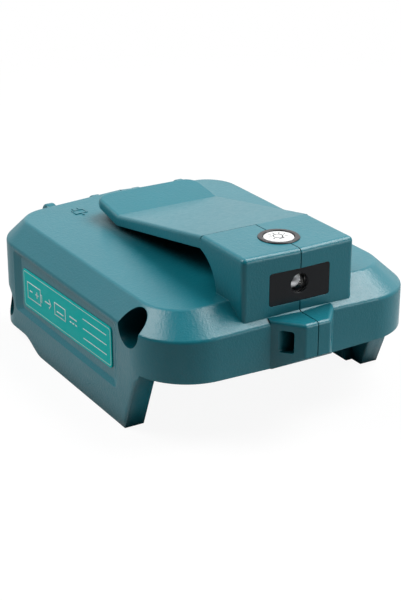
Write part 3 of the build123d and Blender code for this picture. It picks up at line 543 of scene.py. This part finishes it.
@dataclass(frozen=True)
class WoundFinish:
    """Enamelled wire laid in even turns round an upright bobbin."""

    name: str
    colour: Colour
    pitch: float = 0.5 * MM
    waves: float = 6.4
    depth: float = 0.1 * MM
    haze_size: float = 0.6 * MM

    def make(self) -> Material:
        """Build the material.

        Returns:
            The finished material.
        """
        sketch = ShaderSketch(self.name)
        inputs = {"Vector": sketch.place, "Scale": 1 / (self.pitch * self.waves), "Distortion": 0.15}
        turns = sketch.add("ShaderNodeTexWave", inputs, bands_direction="Z").outputs["Fac"]
        return sketch.finish(
            # Painted shade: the colour darkens to a dark copy along the grooves between the turns
            Base_Color=sketch.mix(sketch.ramp(turns, 0.05, 0.5), shade(self.colour, 0.25), self.colour),
            Metallic=0.85,
            Roughness=sketch.ramp(sketch.noise(self.haze_size, 3), *NOISE_BAND, 0.2, 0.36),
            Normal=sketch.bump(turns, self.depth),
            Coat_Weight=0.6,
        )


@dataclass(frozen=True)
class SleeveFinish:
    """Sleeving of the two lamp wires: one colour left of the seam and another right of it."""

    name: str
    left: Colour
    right: Colour
    dust: Colour = (0.2, 0.2, 0.2)
    border: float = 0.1 * MM
    grain_size: float = 0.2 * MM
    grain_depth: float = 0.01 * MM

    def make(self) -> Material:
        """Build the material.

        Returns:
            The finished material.
        """
        sketch = ShaderSketch(self.name)
        side = sketch.ramp(sketch.along("X"), -self.border, self.border)
        grain = sketch.noise(self.grain_size, 3, Grain.ALONG_Y.value)
        dusty = sketch.ramp(grain, 0.3, 0.8, 0.0, 0.2)
        return sketch.finish(
            Base_Color=sketch.mix(dusty, sketch.mix(side, self.left, self.right), self.dust),
            Roughness=sketch.ramp(grain, *NOISE_BAND, 0.38, 0.52),
            Normal=sketch.bump(grain, self.grain_depth),
        )


@dataclass(frozen=True)
class CupFinish:
    """Lamp cup: pale, nearly non-metallic colour in the dish round the chip, painted bright for the plating's
    reflection, and a dark sleeve round the lens.
    """

    name: str
    bright: Colour
    dark: Colour
    axis_z: float = 37.6 * MM
    dish_radius: float = 1.75 * MM
    dish_rim: float = 0.1 * MM
    shine: float = 0.15
    haze_size: float = 0.4 * MM
    haze_depth: float = 0.01 * MM

    def make(self) -> Material:
        """Build the material.

        Returns:
            The finished material.
        """
        sketch = ShaderSketch(self.name)
        away = sketch.distance(Vector((0, 0, self.axis_z)), Vector((1, 0, 1)))
        sleeve = sketch.ramp(away, self.dish_radius, self.dish_radius + self.dish_rim)
        haze = sketch.noise(self.haze_size, 3)
        return sketch.finish(
            # Painted reflection: the dish is a pale colour with little metal, so it is bright under any lamp
            Base_Color=sketch.mix(sleeve, self.bright, self.dark),
            Metallic=sketch.ramp(sleeve, 0.0, 1.0, self.shine, 0.0),
            Roughness=sketch.ramp(haze, *NOISE_BAND, 0.2, 0.4),
            Normal=sketch.bump(haze, self.haze_depth),
        )


@dataclass(frozen=True)
class ChipFinish:
    """Yellow lamp chip: speckled phosphor in clear silicone."""

    name: str
    colour: Colour
    speck_size: float = 0.06 * MM
    speck_depth: float = 0.01 * MM

    def make(self) -> Material:
        """Build the material.

        Returns:
            The finished material.
        """
        sketch = ShaderSketch(self.name)
        specks = sketch.noise(self.speck_size, 3)
        return sketch.finish(
            Base_Color=sketch.mix(sketch.ramp(specks, 0.4, 0.6), self.colour, shade(self.colour, 1.2, 0.05)),
            Roughness=sketch.ramp(specks, *NOISE_BAND, 0.25, 0.45),
            Normal=sketch.bump(specks, self.speck_depth),
        )


class Finish(Enum):
    """Every finish on the adapter."""

    # Painted shade in the two screw wells, listed by their axes
    HOUSING = ShellFinish(
        "housing_plastic", (0.005, 0.172, 0.220), wells=((-28.85, 27.9), (43.6, 9.8))
    )
    LABEL = FilmFinish("label_film", (0.004, 0.58, 0.55), (0.20, 0.66, 0.64))
    INK = InkFinish("pale_ink", tone(170, 222, 214))
    WHITE_INK = InkFinish("white_ink", tone(226, 240, 238))
    PANEL = MouldedFinish(
        "panel_plastic", tone(20, 24, 28), roughness=0.14, swing=0.04, grain_depth=0.001 * MM,
        edge_radius=0.2 * MM, specular=0.25,
    )
    LENS = ClearFinish("lens_resin", (0.97, 0.985, 0.99))
    # Painted reflection: the cup's dish is pale and nearly non-metallic
    CUP_PLATING_AND_REFLECTION = CupFinish("lamp_cup_plating", (0.90, 0.91, 0.92), tone(18, 19, 21))
    # Painted reflection: the cup's rim is a pale colour without metal, bright under any lamp
    RIM = MouldedFinish(
        "lamp_rim_plating", tone(244, 245, 247), roughness=0.25, grain_size=0.2 * MM, grain_depth=0.002 * MM,
        edge_wear_highlight_lift=1.0,
    )
    BEZEL = MouldedFinish(
        "bezel_plastic", tone(24, 25, 28), roughness=0.3, grain_depth=0.004 * MM, edge_radius=0.12 * MM
    )
    CAP = MouldedFinish(
        "cap_plastic", tone(232, 234, 234), roughness=0.35, grain_depth=0.004 * MM, mottle=0.015,
        edge_wear_highlight_lift=1.02,
    )
    DARK_INK = InkFinish(
        "dark_ink", tone(38, 40, 44), roughness=0.45, grain_size=0.12 * MM, grain_depth=0.003 * MM
    )
    BLACK = MouldedFinish("black_plastic", tone(30, 31, 33), roughness=0.45)
    RUBBER = MouldedFinish(
        "cover_rubber", tone(42, 45, 48), roughness=0.68, swing=0.1, grain_size=0.35 * MM,
        grain_depth=0.02 * MM, edge_wear_highlight_lift=1.5, specular=0.35,
    )
    PALE = MouldedFinish("tongue_plastic", tone(225, 226, 222), roughness=0.42, edge_wear_highlight_lift=1.02)
    STEEL = MetalFinish("screw_steel", (0.58, 0.58, 0.60), roughness=0.3, grain=Grain.ALONG_X)
    TIN = MetalFinish("tinned_metal", (0.72, 0.72, 0.73), roughness=0.24, grain=Grain.ALONG_Y)
    BRASS = MetalFinish(
        "plated_brass", (0.83, 0.64, 0.30), roughness=0.22, grain=Grain.ALONG_Y, haze=(0.5, 0.36, 0.16)
    )
    CAN = MetalFinish("capacitor_can", (0.70, 0.71, 0.73), roughness=0.28, grain=Grain.ALONG_Z)
    FERRITE = MouldedFinish(
        "pressed_ferrite", tone(52, 52, 56), roughness=0.62, grain_size=0.22 * MM, grain_depth=0.03 * MM
    )
    BOARD = BoardFinish("board_lacquer", tone(16, 92, 48), tone(172, 168, 120))
    WINDING = WoundFinish("winding_wire", (0.72, 0.32, 0.14))
    SLEEVE = SleeveFinish("wire_sleeve", tone(176, 24, 24), tone(24, 24, 26))
    PHOSPHOR = ChipFinish("lamp_phosphor", tone(232, 206, 96))

    @cache
    def material(self) -> Material:
        """Build the material at its first use, and give the same one from then on."""
        return self.value.make()


class ShapeRecipe(NodeSketch):
    """A Geometry Nodes tree with named sizes that ends in real faces with a finish."""

    def __init__(self, name: str) -> None:
        """Start an empty tree.

        Args:
            name: name of the tree.
        """
        super().__init__(bpy.data.node_groups.new(name, "GeometryNodeTree"))
        self.tree.interface.new_socket("Drawing", in_out="INPUT", socket_type="NodeSocketGeometry")
        self.tree.interface.new_socket("Shape", in_out="OUTPUT", socket_type="NodeSocketGeometry")
        self.entry = self.tree.nodes.new("NodeGroupInput")
        self.exit = self.tree.nodes.new("NodeGroupOutput")
        self.ids: dict[str, str] = {}

    def size(self, name: str, kind: str = "Float") -> Socket:
        """Add a named input to the tree.

        Args:
            name: name of the input.
            kind: Float, Int, Vector or Material.

        Returns:
            The socket that gives its value inside the tree.
        """
        socket = self.tree.interface.new_socket(name, in_out="INPUT", socket_type=f"NodeSocket{kind}")
        self.ids[name] = socket.identifier
        return self.entry.outputs[name]

    def tube(self, curve: Socket, profile: Socket) -> Socket:
        """Sweep a profile along a curve and close the ends."""
        inputs = {"Curve": curve, "Profile Curve": profile, "Fill Caps": True}
        return self.add("GeometryNodeCurveToMesh", inputs).outputs[0]

    def flat_tube(self, curve: Socket) -> Socket:
        """Give a flat curve a square line width, then press it down to the height of a mark.

        Args:
            curve: curve that lies in the drawing plane.

        Returns:
            The pressed mesh.
        """
        line, height = self.size("Line"), self.size("Height")
        square = {"Width": line, "Height": line}
        profile = self.add("GeometryNodeCurvePrimitiveQuadrilateral", square).outputs[0]
        share = self.maths("DIVIDE", height, line)
        squeeze = self.add("ShaderNodeCombineXYZ", {"X": 1.0, "Y": 1.0, "Z": share}).outputs[0]
        inputs = {"Geometry": self.tube(curve, profile), "Scale": squeeze}
        return self.add("GeometryNodeTransform", inputs).outputs[0]

    def close(self, shape: Socket) -> None:
        """End the tree in real faces with a finish.

        Args:
            shape: the finished shape.
        """
        real = self.add("GeometryNodeRealizeInstances", {0: shape}).outputs[0]
        inputs = {"Geometry": real, "Material": self.size("Finish", "Material")}
        self.join(self.add("GeometryNodeSetMaterial", inputs).outputs[0], self.exit.inputs[0])

    def run(self, name: str, finish: Finish, values: dict, base: Mesh | None = None) -> Object:
        """Run the tree and keep its result as a plain mesh.

        Args:
            name: name of the piece.
            finish: its finish.
            values: a value for each named size.
            base: mesh that the tree starts from, where it needs one.

        Returns:
            The piece, at the origin, with no modifier.
        """
        worker = bpy.data.objects.new(f"{name}_work", base or bpy.data.meshes.new(f"{name}_base"))
        bpy.context.scene.collection.objects.link(worker)
        modifier = worker.modifiers.new("shape", "NODES")
        modifier.node_group = self.tree
        for key, value in values.items():
            modifier[self.ids[key]] = value
        modifier[self.ids["Finish"]] = finish.material()
        bpy.context.view_layer.update()
        graph = bpy.context.evaluated_depsgraph_get()
        mesh = bpy.data.meshes.new_from_object(worker.evaluated_get(graph), depsgraph=graph)
        worker.modifiers.remove(modifier)
        bpy.data.objects.remove(worker)
        mesh.name = name
        piece = bpy.data.objects.new(name, mesh)
        bpy.context.scene.collection.objects.link(piece)
        return piece


def border_recipe() -> ShapeRecipe:
    """Write the recipe for the rounded border line of a label.

    Returns:
        The recipe.
    """
    recipe = ShapeRecipe("rounded border")
    sizes = {"Width": recipe.size("Length"), "Height": recipe.size("Rise")}
    outline = recipe.add("GeometryNodeCurvePrimitiveQuadrilateral", sizes).outputs[0]
    corners = {"Curve": outline, "Radius": recipe.size("Corner"), "Count": 8}
    rounded = recipe.add("GeometryNodeFilletCurve", corners, mode="POLY").outputs[0]
    recipe.close(recipe.flat_tube(rounded))
    return recipe


def stroke_recipe() -> ShapeRecipe:
    """Write the recipe for the lines of a sign, drawn along the edges of a flat mesh.

    Returns:
        The recipe.
    """
    recipe = ShapeRecipe("sign strokes")
    curve = recipe.add("GeometryNodeMeshToCurve", {"Mesh": recipe.entry.outputs[0]}).outputs[0]
    recipe.close(recipe.flat_tube(curve))
    return recipe


def row_recipe() -> ShapeRecipe:
    """Write the recipe for equal bars set out along a straight row.

    Returns:
        The recipe.
    """
    recipe = ShapeRecipe("row of bars")
    row = recipe.add(
        "GeometryNodeMeshLine",
        {"Count": recipe.size("Count", "Int"), "Start Location": recipe.size("Start", "Vector"),
         "Offset": recipe.size("Step", "Vector")},
    ).outputs[0]
    bar = recipe.add("GeometryNodeMeshCube", {"Size": recipe.size("Bar", "Vector")}).outputs[0]
    recipe.close(recipe.add("GeometryNodeInstanceOnPoints", {"Points": row, "Instance": bar}).outputs[0])
    return recipe


def ray_recipe() -> ShapeRecipe:
    """Write the recipe for short bars that point outwards round an arc.

    Returns:
        The recipe.
    """
    recipe = ShapeRecipe("rays round an arc")
    path = recipe.add(
        "GeometryNodeCurveArc",
        {"Resolution": recipe.size("Count", "Int"), "Radius": recipe.size("Radius"),
         "Start Angle": recipe.size("From"), "Sweep Angle": recipe.size("Sweep")},
    ).outputs[0]
    points = recipe.add("GeometryNodeCurveToPoints", {"Curve": path}, mode="EVALUATED").outputs[0]
    bar = recipe.add("GeometryNodeMeshCube", {"Size": recipe.size("Bar", "Vector")}).outputs[0]
    outwards = recipe.add("GeometryNodeInputPosition").outputs[0]
    turn = recipe.add("FunctionNodeAlignRotationToVector", {"Vector": outwards}, axis="X").outputs[0]
    rays = recipe.add("GeometryNodeInstanceOnPoints", {"Points": points, "Instance": bar, "Rotation": turn})
    recipe.close(rays.outputs[0])
    return recipe


def helix_recipe() -> ShapeRecipe:
    """Write the recipe for wire that climbs round an upright axis.

    Returns:
        The recipe.
    """
    recipe = ShapeRecipe("helix")
    spiral = recipe.add(
        "GeometryNodeCurveSpiral",
        {"Resolution": 24, "Rotations": recipe.size("Turns"), "Start Radius": recipe.size("Radius"),
         "End Radius": recipe.entry.outputs["Radius"], "Height": recipe.size("Rise")},
    ).outputs[0]
    wire = {"Resolution": 6, "Radius": recipe.size("Wire")}
    profile = recipe.add("GeometryNodeCurvePrimitiveCircle", wire).outputs[0]
    recipe.close(recipe.tube(spiral, profile))
    return recipe


def drawing(lines: list[Line]) -> Mesh:
    """Make a flat mesh of edges from lines of points.

    Args:
        lines: each line's points in millimetres, closed where its last point repeats its first.

    Returns:
        The mesh, with vertices and edges only.
    """
    points, edges = [], []
    for line in lines:
        closed = line[0] == line[-1]
        first = len(points)
        used = line[:-1] if closed else line
        points.extend((x * MM, y * MM, 0.0) for x, y in used)
        edges.extend((first + i, first + i + 1) for i in range(len(used) - 1))
        if closed:
            edges.append((first + len(used) - 1, first))
    mesh = bpy.data.meshes.new("drawing")
    mesh.from_pydata(points, edges, [])
    return mesh


def arc(x: float, y: float, radius: float, start: float, end: float, steps: int = 16) -> Line:
    """Set out points along an arc round x and y, in millimetres and degrees."""
    angles = [radians(start + (end - start) * i / steps) for i in range(steps + 1)]
    return [(x + radius * cos(a), y + radius * sin(a)) for a in angles]


def box(x: float, y: float, width: float, height: float) -> Line:
    """Closed outline of a box round a middle point, in millimetres."""
    left, right, low, high = x - width / 2, x + width / 2, y - height / 2, y + height / 2
    return [(left, low), (right, low), (right, high), (left, high), (left, low)]


@dataclass
class Recipes:
    """The shape recipes that the sub-assemblies share."""

    border: ShapeRecipe = field(default_factory=border_recipe)
    stroke: ShapeRecipe = field(default_factory=stroke_recipe)
    row: ShapeRecipe = field(default_factory=row_recipe)
    ray: ShapeRecipe = field(default_factory=ray_recipe)
    helix: ShapeRecipe = field(default_factory=helix_recipe)


@dataclass
class SubAssembly:
    """A part of the adapter that dresses its own CAD nodes and adds its own pieces, sized in millimetres."""

    recipes: Recipes

    def dress(self, finish: Finish, *nodes: str) -> None:
        """Give CAD nodes a finish.

        Args:
            finish: the finish.
            nodes: names of the nodes.
        """
        for name in nodes:
            piece = frame["nodes"][name]
            if not piece.material_slots:
                piece.data.materials.append(None)
            for slot in piece.material_slots:
                slot.material = finish.material()
            log.info("dressed %s in %s", name, finish.value.name)

    def settle(self, piece: Object, body: str, slot: str, place: Matrix) -> None:
        """Put a piece in its place and let it ride.

        Args:
            piece: the piece, made at the origin.
            body: CAD body that it moves with.
            slot: not used.
            place: where it goes.
        """
        piece.data.transform(place)
        piece.data.update()
        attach(piece, body)
        log.info("made %s with %d faces, on %s", piece.name, len(piece.data.polygons), body)

    def sign(self, name: str, lines: list[Line], finish: Finish, line: float, height: float) -> Object:
        """Draw a sign, flat and at the origin, in lines of a width and height in millimetres."""
        values = {"Line": line * MM, "Height": height * MM}
        return self.recipes.stroke.run(name, finish, values, drawing(lines))

    def coil(
        self, name: str, finish: Finish, turns: float, radius: float, rise: float, wire: float
    ) -> Object:
        """Wind a wire in turns round an upright axis, with its sizes in millimetres."""
        values = {"Turns": turns, "Radius": radius * MM, "Rise": rise * MM, "Wire": wire * MM}
        return self.recipes.helix.run(name, finish, values)

    def bars(
        self, name: str, finish: Finish, count: int, step: Vector, bar: Vector, middle: Vector = Vector()
    ) -> Object:
        """Set out equal bars round a middle point, one step apart, in millimetres."""
        row = {"Count": count, "Start": (middle - step * (count - 1) / 2) * MM, "Step": step * MM}
        return self.recipes.row.run(name, finish, row | {"Bar": bar * MM})


@dataclass
class Housing(SubAssembly):
    """Two half shells with the embossed plug sign beside each socket."""

    sign_x: float = 18.1
    sign_y: float = 38.7
    roof_peak: float = 34.8
    draft: float = 2.3
    line: float = 0.5
    height: float = 0.3

    def build(self) -> None:
        """Dress the shells and add the signs."""
        self.dress(Finish.HOUSING, "housing_left", "housing_right")
        plug = [
            box(0.0, -0.25, 3.4, 2.7),
            [(-0.8, 1.1), (-0.8, 2.8)],
            [(0.8, 1.1), (0.8, 2.8)],
            [(0.0, -1.6), (0.0, -3.3)],
        ]
        z = self.roof_peak - self.sign_x * sin(radians(self.draft))
        for side, sign in (("left", -1), ("right", 1)):
            piece = self.sign(f"socket_sign_{side}", plug, Finish.HOUSING, self.line, self.height)
            lean = Euler((0, sign * radians(self.draft), 0)).to_matrix().to_4x4()
            place = Matrix.Translation(Vector((sign * self.sign_x, self.sign_y, z)) * MM) @ lean
            self.settle(piece, "case", "housing", place)


@dataclass
class RatingLabel(SubAssembly):
    """Label film with a printed border, plain rules and battery signs, its fields left blank."""

    middle_y: float = 6.8
    middle_z: float = 18.2
    length: float = 52.2
    height: float = 11.2
    tilt: float = 1.5
    inset: float = 0.6
    corner: float = 0.75
    line: float = 0.22
    stroke: float = 0.4
    thickness: float = 0.05
    face_x: float = -38.85
    rule_x: float = 16.9
    rule_length: float = 13.0
    rule_pitch: float = 2.7
    rule_count: int = 3

    def place(self) -> Matrix:
        """Where a flat drawing round the label's middle goes."""
        middle = Vector((self.face_x, self.middle_y, self.middle_z)) * MM
        return Matrix.Translation(middle) @ LEFT_SIDE @ Matrix.Rotation(radians(self.tilt), 4, "Z")

    def border(self) -> Object:
        """Print the border line.

        Returns:
            The piece.
        """
        values = {
            "Length": (self.length - 2 * self.inset) * MM,
            "Rise": (self.height - 2 * self.inset) * MM,
            "Corner": self.corner * MM,
            "Line": self.line * MM,
            "Height": self.thickness * MM,
        }
        return self.recipes.border.run("label_border", Finish.INK, values)

    def signs(self) -> Object:
        """Print a battery, an arrow, a socket and the sign for direct current.

        Returns:
            The piece.
        """
        battery = [
            box(-19.3, 0.0, 8.2, 4.6),
            [(-15.2, -1.0), (-14.4, -1.0), (-14.4, 1.0), (-15.2, 1.0)],
            [(-22.0, 0.0), (-20.4, 0.0)],
            [(-18.4, 0.0), (-16.6, 0.0)],
            [(-17.5, -0.9), (-17.5, 0.9)],
        ]
        arrow = [[(-12.4, 0.0), (-8.6, 0.0)], [(-9.9, 1.3), (-8.6, 0.0), (-9.9, -1.3)]]
        port = [box(-3.2, 0.0, 6.4, 3.4), [(-5.2, -0.5), (-1.2, -0.5)]]
        direct = [
            [(2.6, 0.7), (6.8, 0.7)],
            [(2.6, -0.7), (3.6, -0.7)],
            [(4.2, -0.7), (5.2, -0.7)],
            [(5.8, -0.7), (6.8, -0.7)],
        ]
        lines = battery + arrow + port + direct
        return self.sign("label_signs", lines, Finish.WHITE_INK, self.stroke, self.thickness)

    def rules(self) -> Object:
        """Print the blank rules.

        Returns:
            The piece.
        """
        middle, step = Vector((self.rule_x, 0, 0)), Vector((0, -self.rule_pitch, 0))
        bar = Vector((self.rule_length, self.line, self.thickness))
        return self.bars("label_rules", Finish.WHITE_INK, self.rule_count, step, bar, middle)

    def build(self) -> None:
        """Dress the film and print its border, signs and rules."""
        self.dress(Finish.LABEL, "rating_label")
        for piece in (self.border(), self.signs(), self.rules()):
            self.settle(piece, "case", "label", self.place())


@dataclass
class PushButton(SubAssembly):
    """Button ring and cap with a lamp sign printed on the cap."""

    middle_y: float = -35.6
    cap_top: float = 46.75
    line: float = 0.3
    height: float = 0.04
    bulb_y: float = 0.35
    ray_count: int = 7
    ray_radius: float = 2.1
    ray_length: float = 0.8

    def build(self) -> None:
        """Dress the button and print its sign."""
        self.dress(Finish.BEZEL, "button_bezel")
        self.dress(Finish.CAP, "button_cap")
        self.dress(Finish.BLACK, "switch_plunger", "switch_body")
        place = Matrix.Translation(Vector((0, self.middle_y, self.cap_top)) * MM)
        bulb = [
            arc(0, self.bulb_y, 1.2, -62, 242),
            [(-0.56, -0.7), (-0.56, -1.6), (0.56, -1.6), (0.56, -0.7)],
            [(-0.56, -1.15), (0.56, -1.15)],
        ]
        piece = self.sign("lamp_sign", bulb, Finish.DARK_INK, self.line, self.height)
        self.settle(piece, "button", "black_plastic", place)
        values = {
            "Count": self.ray_count,
            "Radius": self.ray_radius * MM,
            "From": radians(-30),
            "Sweep": radians(240),
            "Bar": Vector((self.ray_length, self.line, self.height)) * MM,
        }
        rays = self.recipes.ray.run("lamp_sign_rays", Finish.DARK_INK, values)
        raised = Matrix.Translation((0, self.bulb_y * MM, 0))
        self.settle(rays, "button", "black_plastic", place @ raised)


@dataclass
class Lamp(SubAssembly):
    """Dark window, lens, bright cup and chip, with the lamp's board behind them."""

    axis_z: float = 37.6
    rim_y: float = -42.3
    rim_radius: float = 0.78
    rim_wire: float = 0.48

    def rim(self) -> None:
        """Set the bright rim of the lamp's cup into the resin, round the chip; its pale colour without metal
        paints in the plating's reflection.
        """
        piece = self.coil("lamp_cup_rim", Finish.RIM, 1.0, self.rim_radius, 0.0, self.rim_wire)
        middle = Matrix.Translation(Vector((0, self.rim_y, self.axis_z)) * MM)
        self.settle(piece, "case", "chrome", middle @ Matrix.Rotation(radians(90), 4, "X"))

    def build(self) -> None:
        """Dress the lamp and add its rim."""
        self.dress(Finish.PANEL, "light_panel")
        self.dress(Finish.LENS, "led_lens")
        self.dress(Finish.CUP_PLATING_AND_REFLECTION, "led_reflector")
        self.dress(Finish.PHOSPHOR, "led_chip")
        self.dress(Finish.TIN, "led_leads")
        self.dress(Finish.BOARD, "led_board")
        self.dress(Finish.SLEEVE, "lamp_wires")
        self.rim()


@dataclass
class Sockets(SubAssembly):
    """USB sockets with their covers."""

    def build(self) -> None:
        """Dress the sockets and covers."""
        self.dress(Finish.TIN, "usb_shells")
        self.dress(Finish.PALE, "usb_tongues")
        self.dress(Finish.BRASS, "usb_contacts")
        self.dress(Finish.RUBBER, "usb_cover_left", "usb_cover_right")


@dataclass
class Electronics(SubAssembly):
    """Main board with its parts, and the battery terminals."""

    coil_x: float = -12.0
    coil_y: float = 0.55
    coil_bottom: float = 24.1
    coil_radius: float = 4.7
    coil_rise: float = 3.6
    coil_turns: float = 8.0
    coil_wire: float = 0.22
    board_top: float = 22.9
    chip_y: float = 14.55
    chip_places: tuple[float, ...] = (-12.0, 0.0, 12.0)
    pin_bar: tuple[float, float, float] = (0.4, 1.0, 0.2)
    pin_pitch: float = 1.1
    pin_count: int = 4
    pin_reach: float = 2.4

    def turns(self) -> None:
        """Wind the outer turns of the coil."""
        piece = self.coil(
            "winding_turns", Finish.WINDING, self.coil_turns, self.coil_radius, self.coil_rise, self.coil_wire
        )
        place = Matrix.Translation(Vector((self.coil_x, self.coil_y, self.coil_bottom)) * MM)
        self.settle(piece, "case", "copper", place)

    def pins(self) -> None:
        """Set the rows of pins along both sides of each chip."""
        step, bar = Vector((self.pin_pitch, 0, 0)), Vector(self.pin_bar)
        for number, x in enumerate(self.chip_places, 1):
            for side, sign in (("front", -1), ("back", 1)):
                piece = self.bars(f"chip_pins_{number}_{side}", Finish.TIN, self.pin_count, step, bar)
                spot = Vector((x, self.chip_y + sign * self.pin_reach, self.board_top + self.pin_bar[2] / 2))
                self.settle(piece, "case", "tin", Matrix.Translation(spot * MM))

    def build(self) -> None:
        """Dress the board, its parts and the terminals, and add the fine parts."""
        self.dress(Finish.BOARD, "main_board")
        self.dress(Finish.FERRITE, "inductor_core")
        self.dress(Finish.WINDING, "inductor_winding")
        self.dress(Finish.CAN, "capacitors")
        self.dress(Finish.BLACK, "converter_chips", "terminal_block")
        self.dress(Finish.TIN, "terminal_blades")
        self.dress(Finish.BRASS, "signal_contacts")
        self.dress(Finish.STEEL, "case_screws")
        self.turns()
        self.pins()


@dataclass(frozen=True)
class SoftBox:
    """A square studio lamp that faces the adapter, placed by its bearing from +X towards +Y and its rise."""

    name: str
    bearing: float
    rise: float
    width: float
    radiance: float
    distance: float = 0.9
    target: Vector = Vector((0, 0, 0.03))
    reflected: bool = True

    def build(self) -> None:
        """Hang the lamp."""
        data = bpy.data.lights.new(self.name, "AREA")
        data.shape = "SQUARE"
        data.size = self.width
        data.energy = self.radiance * pi * self.width ** 2
        lamp = bpy.data.objects.new(self.name, data)
        bearing, rise = radians(self.bearing), radians(self.rise)
        way = Vector((cos(rise) * cos(bearing), cos(rise) * sin(bearing), sin(rise)))
        lamp.location = self.target + way * self.distance
        lamp.rotation_euler = (-way).to_track_quat("-Z", "Y").to_euler()
        lamp.visible_camera = False
        lamp.visible_glossy = self.reflected
        bpy.context.scene.collection.objects.link(lamp)


@dataclass(frozen=True)
class Studio:
    """Pale floor, white surround and soft lamps."""

    floor_half: float = 3.0
    bounce: Colour = (0.20, 0.20, 0.20)
    gloss_near: Colour = (1.0, 1.0, 1.0)
    gloss_far: Colour = (0.40, 0.40, 0.40)
    gloss_from: float = 0.055
    gloss_to: float = 0.09
    glow: float = 0.92
    fade_from: float = 0.1
    fade_to: float = 0.35
    ambient_way: Vector = Vector((0.45, 0.893, 0.0))
    ambient_span: tuple[float, float] = (-0.6, 0.9)
    ambient: tuple[float, float] = (0.05, 0.42)
    mirror_way: Vector = Vector((0.7, 0.71, 0.0))
    mirror_span: tuple[float, float] = (-0.2, 0.95)
    mirror: tuple[float, float] = (0.12, 1.15)

    def floor(self) -> None:
        """Lay the floor, white to the eye but with the object's shadow, and clear from below."""
        mesh = bpy.data.meshes.new("floor")
        half = self.floor_half
        corners = [(-half, -half, 0), (half, -half, 0), (half, half, 0), (-half, half, 0)]
        mesh.from_pydata(corners, [], [(0, 1, 2, 3)])
        floor = bpy.data.objects.new("floor", mesh)
        bpy.context.scene.collection.objects.link(floor)
        mesh.materials.append(self.paper())

    def paper(self) -> Material:
        """Build the floor's material.

        Returns:
            The finished material.
        """
        sketch = ShaderSketch("floor_paper")
        path = sketch.add("ShaderNodeLightPath").outputs
        away = sketch.vector("LENGTH", sketch.place)
        gloss = sketch.mix(sketch.ramp(away, self.gloss_from, self.gloss_to), self.gloss_near, self.gloss_far)
        unseen = sketch.mix(path["Is Glossy Ray"], self.bounce, gloss)
        paper_tone = sketch.mix(path["Is Camera Ray"], unseen, (1.0, 1.0, 1.0))
        sketch.finish(Base_Color=paper_tone, Roughness=0.9, Specular_IOR_Level=0.0)
        glow = sketch.add("ShaderNodeEmission", {"Color": WHITE, "Strength": 1.0}).outputs[0]
        glowing = sketch.ramp(away, self.fade_from, self.fade_to, self.glow, 1.0)
        share = sketch.maths("MULTIPLY", path["Is Camera Ray"], glowing)
        paper = sketch.blend(share, sketch.shader.outputs[0], glow)
        clear = sketch.add("ShaderNodeBsdfTransparent").outputs[0]
        below = sketch.add("ShaderNodeNewGeometry").outputs["Backfacing"]
        shown = sketch.blend(below, paper, clear)
        sketch.join(shown, sketch.output.inputs["Surface"])
        return sketch.material

    def surround(self) -> None:
        """White world for the eye, softer from the front and left for the object."""
        world = bpy.data.worlds.new("surround")
        bpy.context.scene.world = world
        world.use_nodes = True
        sketch = NodeSketch(world.node_tree)
        way = sketch.add("ShaderNodeTexCoord").outputs["Generated"]
        lit = sketch.vector("DOT_PRODUCT", way, self.ambient_way)
        ambient = sketch.ramp(lit, *self.ambient_span, *self.ambient)
        mirrored = sketch.vector("DOT_PRODUCT", way, self.mirror_way)
        mirror = sketch.ramp(mirrored, *self.mirror_span, *self.mirror)
        path = sketch.add("ShaderNodeLightPath").outputs
        shiny = sketch.maths("MAXIMUM", path["Is Glossy Ray"], path["Is Transmission Ray"])
        first = sketch.add("ShaderNodeMix", {0: shiny, 2: ambient, 3: mirror}, data_type="FLOAT").outputs[0]
        inputs = {0: path["Is Camera Ray"], 2: first, 3: 1.0}
        second = sketch.add("ShaderNodeMix", inputs, data_type="FLOAT").outputs[0]
        sky = sketch.add("ShaderNodeBackground", {"Color": WHITE, "Strength": second}).outputs[0]
        sketch.join(sky, sketch.add("ShaderNodeOutputWorld").inputs["Surface"])

    def build(self) -> None:
        """Set up the whole studio."""
        self.floor()
        self.surround()
        SoftBox("right_key", bearing=-14, rise=56, width=0.6, radiance=7.6).build()
        SoftBox("left_back_key", bearing=145, rise=50, width=0.5, radiance=6.8).build()
        SoftBox("front_edge", bearing=-58, rise=12, width=0.3, radiance=6.2).build()
        SoftBox(
            "bay_fill", bearing=0, rise=-90, width=0.05, radiance=0.3, distance=0.016,
            target=Vector((0, 0.005, 0.0165)), reflected=False,
        ).build()
        log.info("made the studio")


@dataclass(frozen=True)
class StudioCamera:
    """Camera at the photograph's place and angle."""

    place: Vector = Vector((-0.196621, -0.323173, 0.175689))
    forward: Vector = Vector((0.477220, 0.788711, -0.387551))
    roll: float = 0.0016862
    lens: float = 89.6
    sensor: float = 36.0

    def build(self) -> None:
        """Make the camera and give it to the scene."""
        data = bpy.data.cameras.new("studio_camera")
        data.lens = self.lens
        data.sensor_width = self.sensor
        data.clip_start = 0.01
        data.clip_end = 20.0
        camera = bpy.data.objects.new("studio_camera", data)
        aim = self.forward.to_track_quat("-Z", "Y").to_matrix() @ Matrix.Rotation(self.roll, 3, "Z")
        camera.matrix_world = Matrix.Translation(self.place) @ aim.to_4x4()
        bpy.context.scene.collection.objects.link(camera)
        bpy.context.scene.camera = camera


def main() -> None:
    """Build the adapter's looks in order."""
    logging.basicConfig(level=logging.INFO, format="%(message)s")
    bpy.context.scene.view_settings.view_transform = "Standard"
    StudioCamera().build()
    Studio().build()
    recipes = Recipes()
    for part in (Housing, RatingLabel, PushButton, Lamp, Sockets, Electronics):
        part(recipes).build()


if __name__ == "__main__":
    main()
